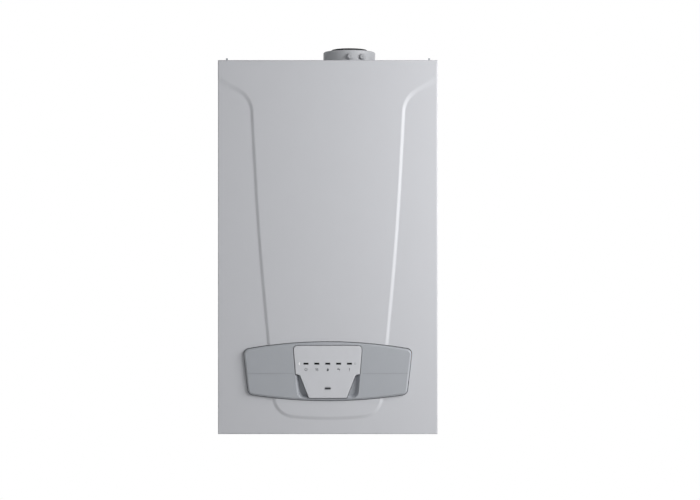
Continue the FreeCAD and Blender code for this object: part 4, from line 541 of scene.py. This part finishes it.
recessed("collar_cross_screws", "collar_screws", True)
recessed("cover_cross_screws", "cover_screws", False)


# Printed marks on the lamp module, a painted highlight beside its lamps, and painted shade on its
# button and along the fascia's crease. Their outlines are in millimetres.

MARK_DEPTH = 0.12 * MM
MARK_LINE = 0.6
WAVE_SWING, WAVE_TALL = 0.5, 4.4
CRESCENT_HOLLOW = 0.35


def print_and_painted_light(name, outlines, center, ink_and_painted_light, under, body):
    """Thin marks on the face of a node: print, painted highlight and painted shade."""
    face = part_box(under)[0][1]
    build = bmesh.new()
    for points in outlines:
        spots = [(center[0] + x * MM, center[1] + z * MM) for x, z in points]
        depths = face - MARK_DEPTH, face + MARK_DEPTH
        prism(build, *[[(x, y, z) for x, z in spots] for y in depths])
    piece_of(name, build, FINISHES[ink_and_painted_light], body)


def arc_band(radius, width, first, last, steps=24):
    """A ring or part of one, from one angle to another, as a row of four-sided pieces."""
    inner, outer = radius - width / 2, radius + width / 2
    angles = [math.radians(first + (last - first) * i / steps) for i in range(steps + 1)]
    pieces = []
    for a, b in zip(angles, angles[1:]):
        edge = (inner, a), (outer, a), (outer, b), (inner, b)
        pieces.append([(reach * math.cos(turn), reach * math.sin(turn)) for reach, turn in edge])
    return pieces


def stroke(points, width):
    """A line of even width as four-sided pieces."""
    pieces = []
    for (ax, az), (bx, bz) in zip(points, points[1:]):
        length = math.hypot(bx - ax, bz - az)
        nx, nz = -(bz - az) / length * width / 2, (bx - ax) / length * width / 2
        one_side = [(ax + nx, az + nz), (bx + nx, bz + nz)]
        other_side = [(bx - nx, bz - nz), (ax - nx, az - nz)]
        pieces.append(one_side + other_side)
    return pieces


def wave(x, steps=8):
    """An upright wavy line."""
    shares = [i / steps for i in range(steps + 1)]
    points = [(x + WAVE_SWING * math.sin(share * math.tau), WAVE_TALL * (share - 0.5))
              for share in shares]
    return stroke(points, MARK_LINE)


def lozenge(width, tall, steps=12):
    """A flat bar with round ends."""
    reach = (width - tall) / 2
    outline = []
    for side in (1, -1):
        for i in range(steps + 1):
            turn = math.pi * (i / steps - 0.5)
            across, up = reach + tall / 2 * math.cos(turn), tall / 2 * math.sin(turn)
            outline.append((side * across, side * up))
    return outline


def crescent(tall, wide, steps=10):
    """A sickle that opens to the right."""
    ups = [2 * i / steps - 1 for i in range(steps + 1)]
    outer = [(-wide * math.sqrt(1 - up * up), tall / 2 * up) for up in ups]
    inner = [(x * CRESCENT_HOLLOW, z) for x, z in outer[1:-1]]
    return outer + inner[::-1]


FLAME = [(0.0, 2.7), (0.9, 1.2), (1.7, -0.3), (1.6, -1.6), (0.8, -2.4), (-0.8, -2.4),
         (-1.6, -1.6), (-1.4, -0.2), (-0.5, 0.8)]
SPOUT = stroke([(-2.2, 0.4), (1.4, 0.4)], 1.1) + stroke([(1.5, 0.95), (1.5, -1.0)], 1.1)
HANDLE = stroke([(-0.6, 0.9), (-0.6, 2.0)], MARK_LINE)
HANDLE += stroke([(-1.6, 2.1), (0.4, 2.1)], MARK_LINE)
DROP = stroke([(1.5, -1.6), (1.5, -2.4)], 0.5)
SWITCH = arc_band(1.9, MARK_LINE, 125, 415) + stroke([(0.0, 2.6), (0.0, 0.6)], MARK_LINE)
MARKS = {
    "mark_power": SWITCH,
    "mark_heating": wave(-1.5) + wave(0.0) + wave(1.5),
    "mark_flame": [FLAME],
    "mark_tap": SPOUT + HANDLE + DROP,
    "mark_alert": stroke([(0.0, 2.4), (0.0, -0.9)], 0.9) + stroke([(0.0, -1.6), (0.0, -2.5)], 0.9),
}
SICKLE = crescent(6.8, 3.4)
RING = arc_band(1.7, 0.8, 0, 360)
BUTTON_SHADE_BAR = lozenge(11.4, 2.6)
MARK_DROP = 11.9 * MM
MARK_SCALE = 1.3
MARK_SPREAD = 56.0 * MM
LAMP_HALF = 6.2 * MM
CREASE_LEVEL = -603.0 * MM
CREASE_INNER, CREASE_OUTER, CREASE_TALL = 71.0, 163.0, 0.5

lamp_low, lamp_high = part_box("light_guides")
lamp_z = (lamp_low[2] + lamp_high[2]) / 2
half_count = len(MARKS) // 2
pitch = ((lamp_high[0] - lamp_low[0]) / 2 - LAMP_HALF) / half_count
on_module = "module_front", "interface_module"
for index, (name, outlines) in enumerate(MARKS.items()):
    outlines = [[(x * MARK_SCALE, z * MARK_SCALE) for x, z in points] for points in outlines]
    place = (index - half_count) * pitch, lamp_z - MARK_DROP
    print_and_painted_light(name, outlines, place, "mark_grey", *on_module)
# Painted highlight: the white sickle left of the lamps stands in for a reflection on the module.
print_and_painted_light("painted_highlight_left", [SICKLE], (-MARK_SPREAD, lamp_z), "highlight_white", *on_module)
print_and_painted_light("mark_right", RING, (MARK_SPREAD, lamp_z), "mark_pale", *on_module)

# Painted shade: a darker line on the fascia along its crease, where its two faces meet.
for side, name in ((-1, "left"), (1, "right")):
    line = stroke([(side * CREASE_INNER, 0.0), (side * CREASE_OUTER, 0.0)], CREASE_TALL)
    print_and_painted_light("fascia_crease_shade_" + name, line, (0.0, CREASE_LEVEL), "crease_shade", "fascia", "casing")

# Painted shade: a dark bar across the button stands in for the shadow line in its middle.
button_low, button_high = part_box("module_button")
button_z = (button_low[2] + button_high[2]) / 2
print_and_painted_light("button_shade_bar", [BUTTON_SHADE_BAR], (0.0, button_z), "shade_bar_dark", "module_button", "module_button")


# Floor, light and camera, in metres and watts, apart from the lens and sensor in millimetres

FLOOR_HALF = 7.0
FLOOR_DROP = 0.75
FLOOR_COLOR = (0.8, 0.8, 0.8, 1.0)
FLOOR_ROUGH = 0.9
SKY_COLOR = (0.95, 0.97, 1.0, 1.0)
SKY_STRENGTH = 0.13
WHITE = (1.0, 1.0, 1.0, 1.0)
CAMERA_LENS = 82.95
CAMERA_SENSOR = 36.0
CAMERA_FAR = 50.0
CAMERA_BACK = 3.3
CAMERA_SIDE = 0.0455
CAMERA_DROP = 0.0058

low, high = [Vector(corner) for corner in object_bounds()]
middle = (low + high) / 2
front = cover_low.y * MM


def seen_white(tree, lit, white, output):
    """White to the camera and in reflections, while the object is lit by the plain shader."""
    rays = tree.nodes.new("ShaderNodeLightPath")
    seen = rays.outputs["Is Camera Ray"]
    for kind in ("Is Glossy Ray", "Is Transmission Ray"):
        either = tree.nodes.new("ShaderNodeMath")
        either.operation = "MAXIMUM"
        tree.links.new(seen, either.inputs[0])
        tree.links.new(rays.outputs[kind], either.inputs[1])
        seen = either.outputs["Value"]
    pick = tree.nodes.new("ShaderNodeMixShader")
    tree.links.new(seen, pick.inputs["Fac"])
    tree.links.new(lit, pick.inputs[1])
    tree.links.new(white, pick.inputs[2])
    tree.links.new(pick.outputs["Shader"], output.inputs["Surface"])


floor_mesh = bpy.data.meshes.new("floor")
square = [(x * FLOOR_HALF, y * FLOOR_HALF, 0) for x, y in ((-1, -1), (1, -1), (1, 1), (-1, 1))]
floor_mesh.from_pydata(square, [], [(0, 1, 2, 3)])
floor = bpy.data.objects.new("floor", floor_mesh)
floor.location = (0, 0, low.z - FLOOR_DROP)
scene.collection.objects.link(floor)
paper = bpy.data.materials.new("studio_floor")
paper.use_nodes = True
tree = paper.node_tree
diffuse = tree.nodes["Principled BSDF"]
diffuse.inputs["Base Color"].default_value = FLOOR_COLOR
diffuse.inputs["Roughness"].default_value = FLOOR_ROUGH
glow = tree.nodes.new("ShaderNodeEmission")
seen_white(tree, diffuse.outputs["BSDF"], glow.outputs["Emission"], tree.nodes["Material Output"])
floor_mesh.materials.append(paper)

world = bpy.data.worlds.new("studio")
scene.world = world
world.use_nodes = True
tree = world.node_tree
sky = tree.nodes["Background"]
sky.inputs["Color"].default_value = SKY_COLOR
sky.inputs["Strength"].default_value = SKY_STRENGTH
white = node_of(tree, "ShaderNodeBackground", Color=WHITE)
seen_white(tree, sky.outputs["Background"], white.outputs["Background"], tree.nodes["World Output"])


def lamp(name, power, size, location):
    """A square lamp that points at the middle of the front."""
    light = bpy.data.lights.new(name, "AREA")
    light.energy = power
    light.shape = "SQUARE"
    light.size = size
    item = bpy.data.objects.new(name, light)
    item.location = location
    way = Vector((0.0, front, middle.z)) - Vector(location)
    item.rotation_euler = way.to_track_quat("-Z", "Y").to_euler()
    scene.collection.objects.link(item)


lamp("key_light", 32.8, 1.2, (1.27, -1.28, middle.z + 0.36))
lamp("fill_light", 2.4, 2.0, (-1.5, -2.4, middle.z + 0.1))
lamp("top_light", 0.5, 1.2, (0.3, -0.6, high.z + 1.4))
lamp("left_light", 6.0, 1.0, (-1.9, -0.56, middle.z))
lamp("back_light", 11.0, 1.4, (0.9, 2.2, middle.z + 0.4))

camera_data = bpy.data.cameras.new("camera")
camera_data.lens = CAMERA_LENS
camera_data.sensor_width = CAMERA_SENSOR
camera_data.clip_end = CAMERA_FAR
camera = bpy.data.objects.new("camera", camera_data)
camera_z = (cover_low.z + cover_high.z) / 2 * MM - CAMERA_DROP
camera.location = (CAMERA_SIDE, front - CAMERA_BACK, camera_z)
camera.rotation_euler = (math.pi / 2, 0.0, 0.0)
scene.collection.objects.link(camera)
scene.camera = camera
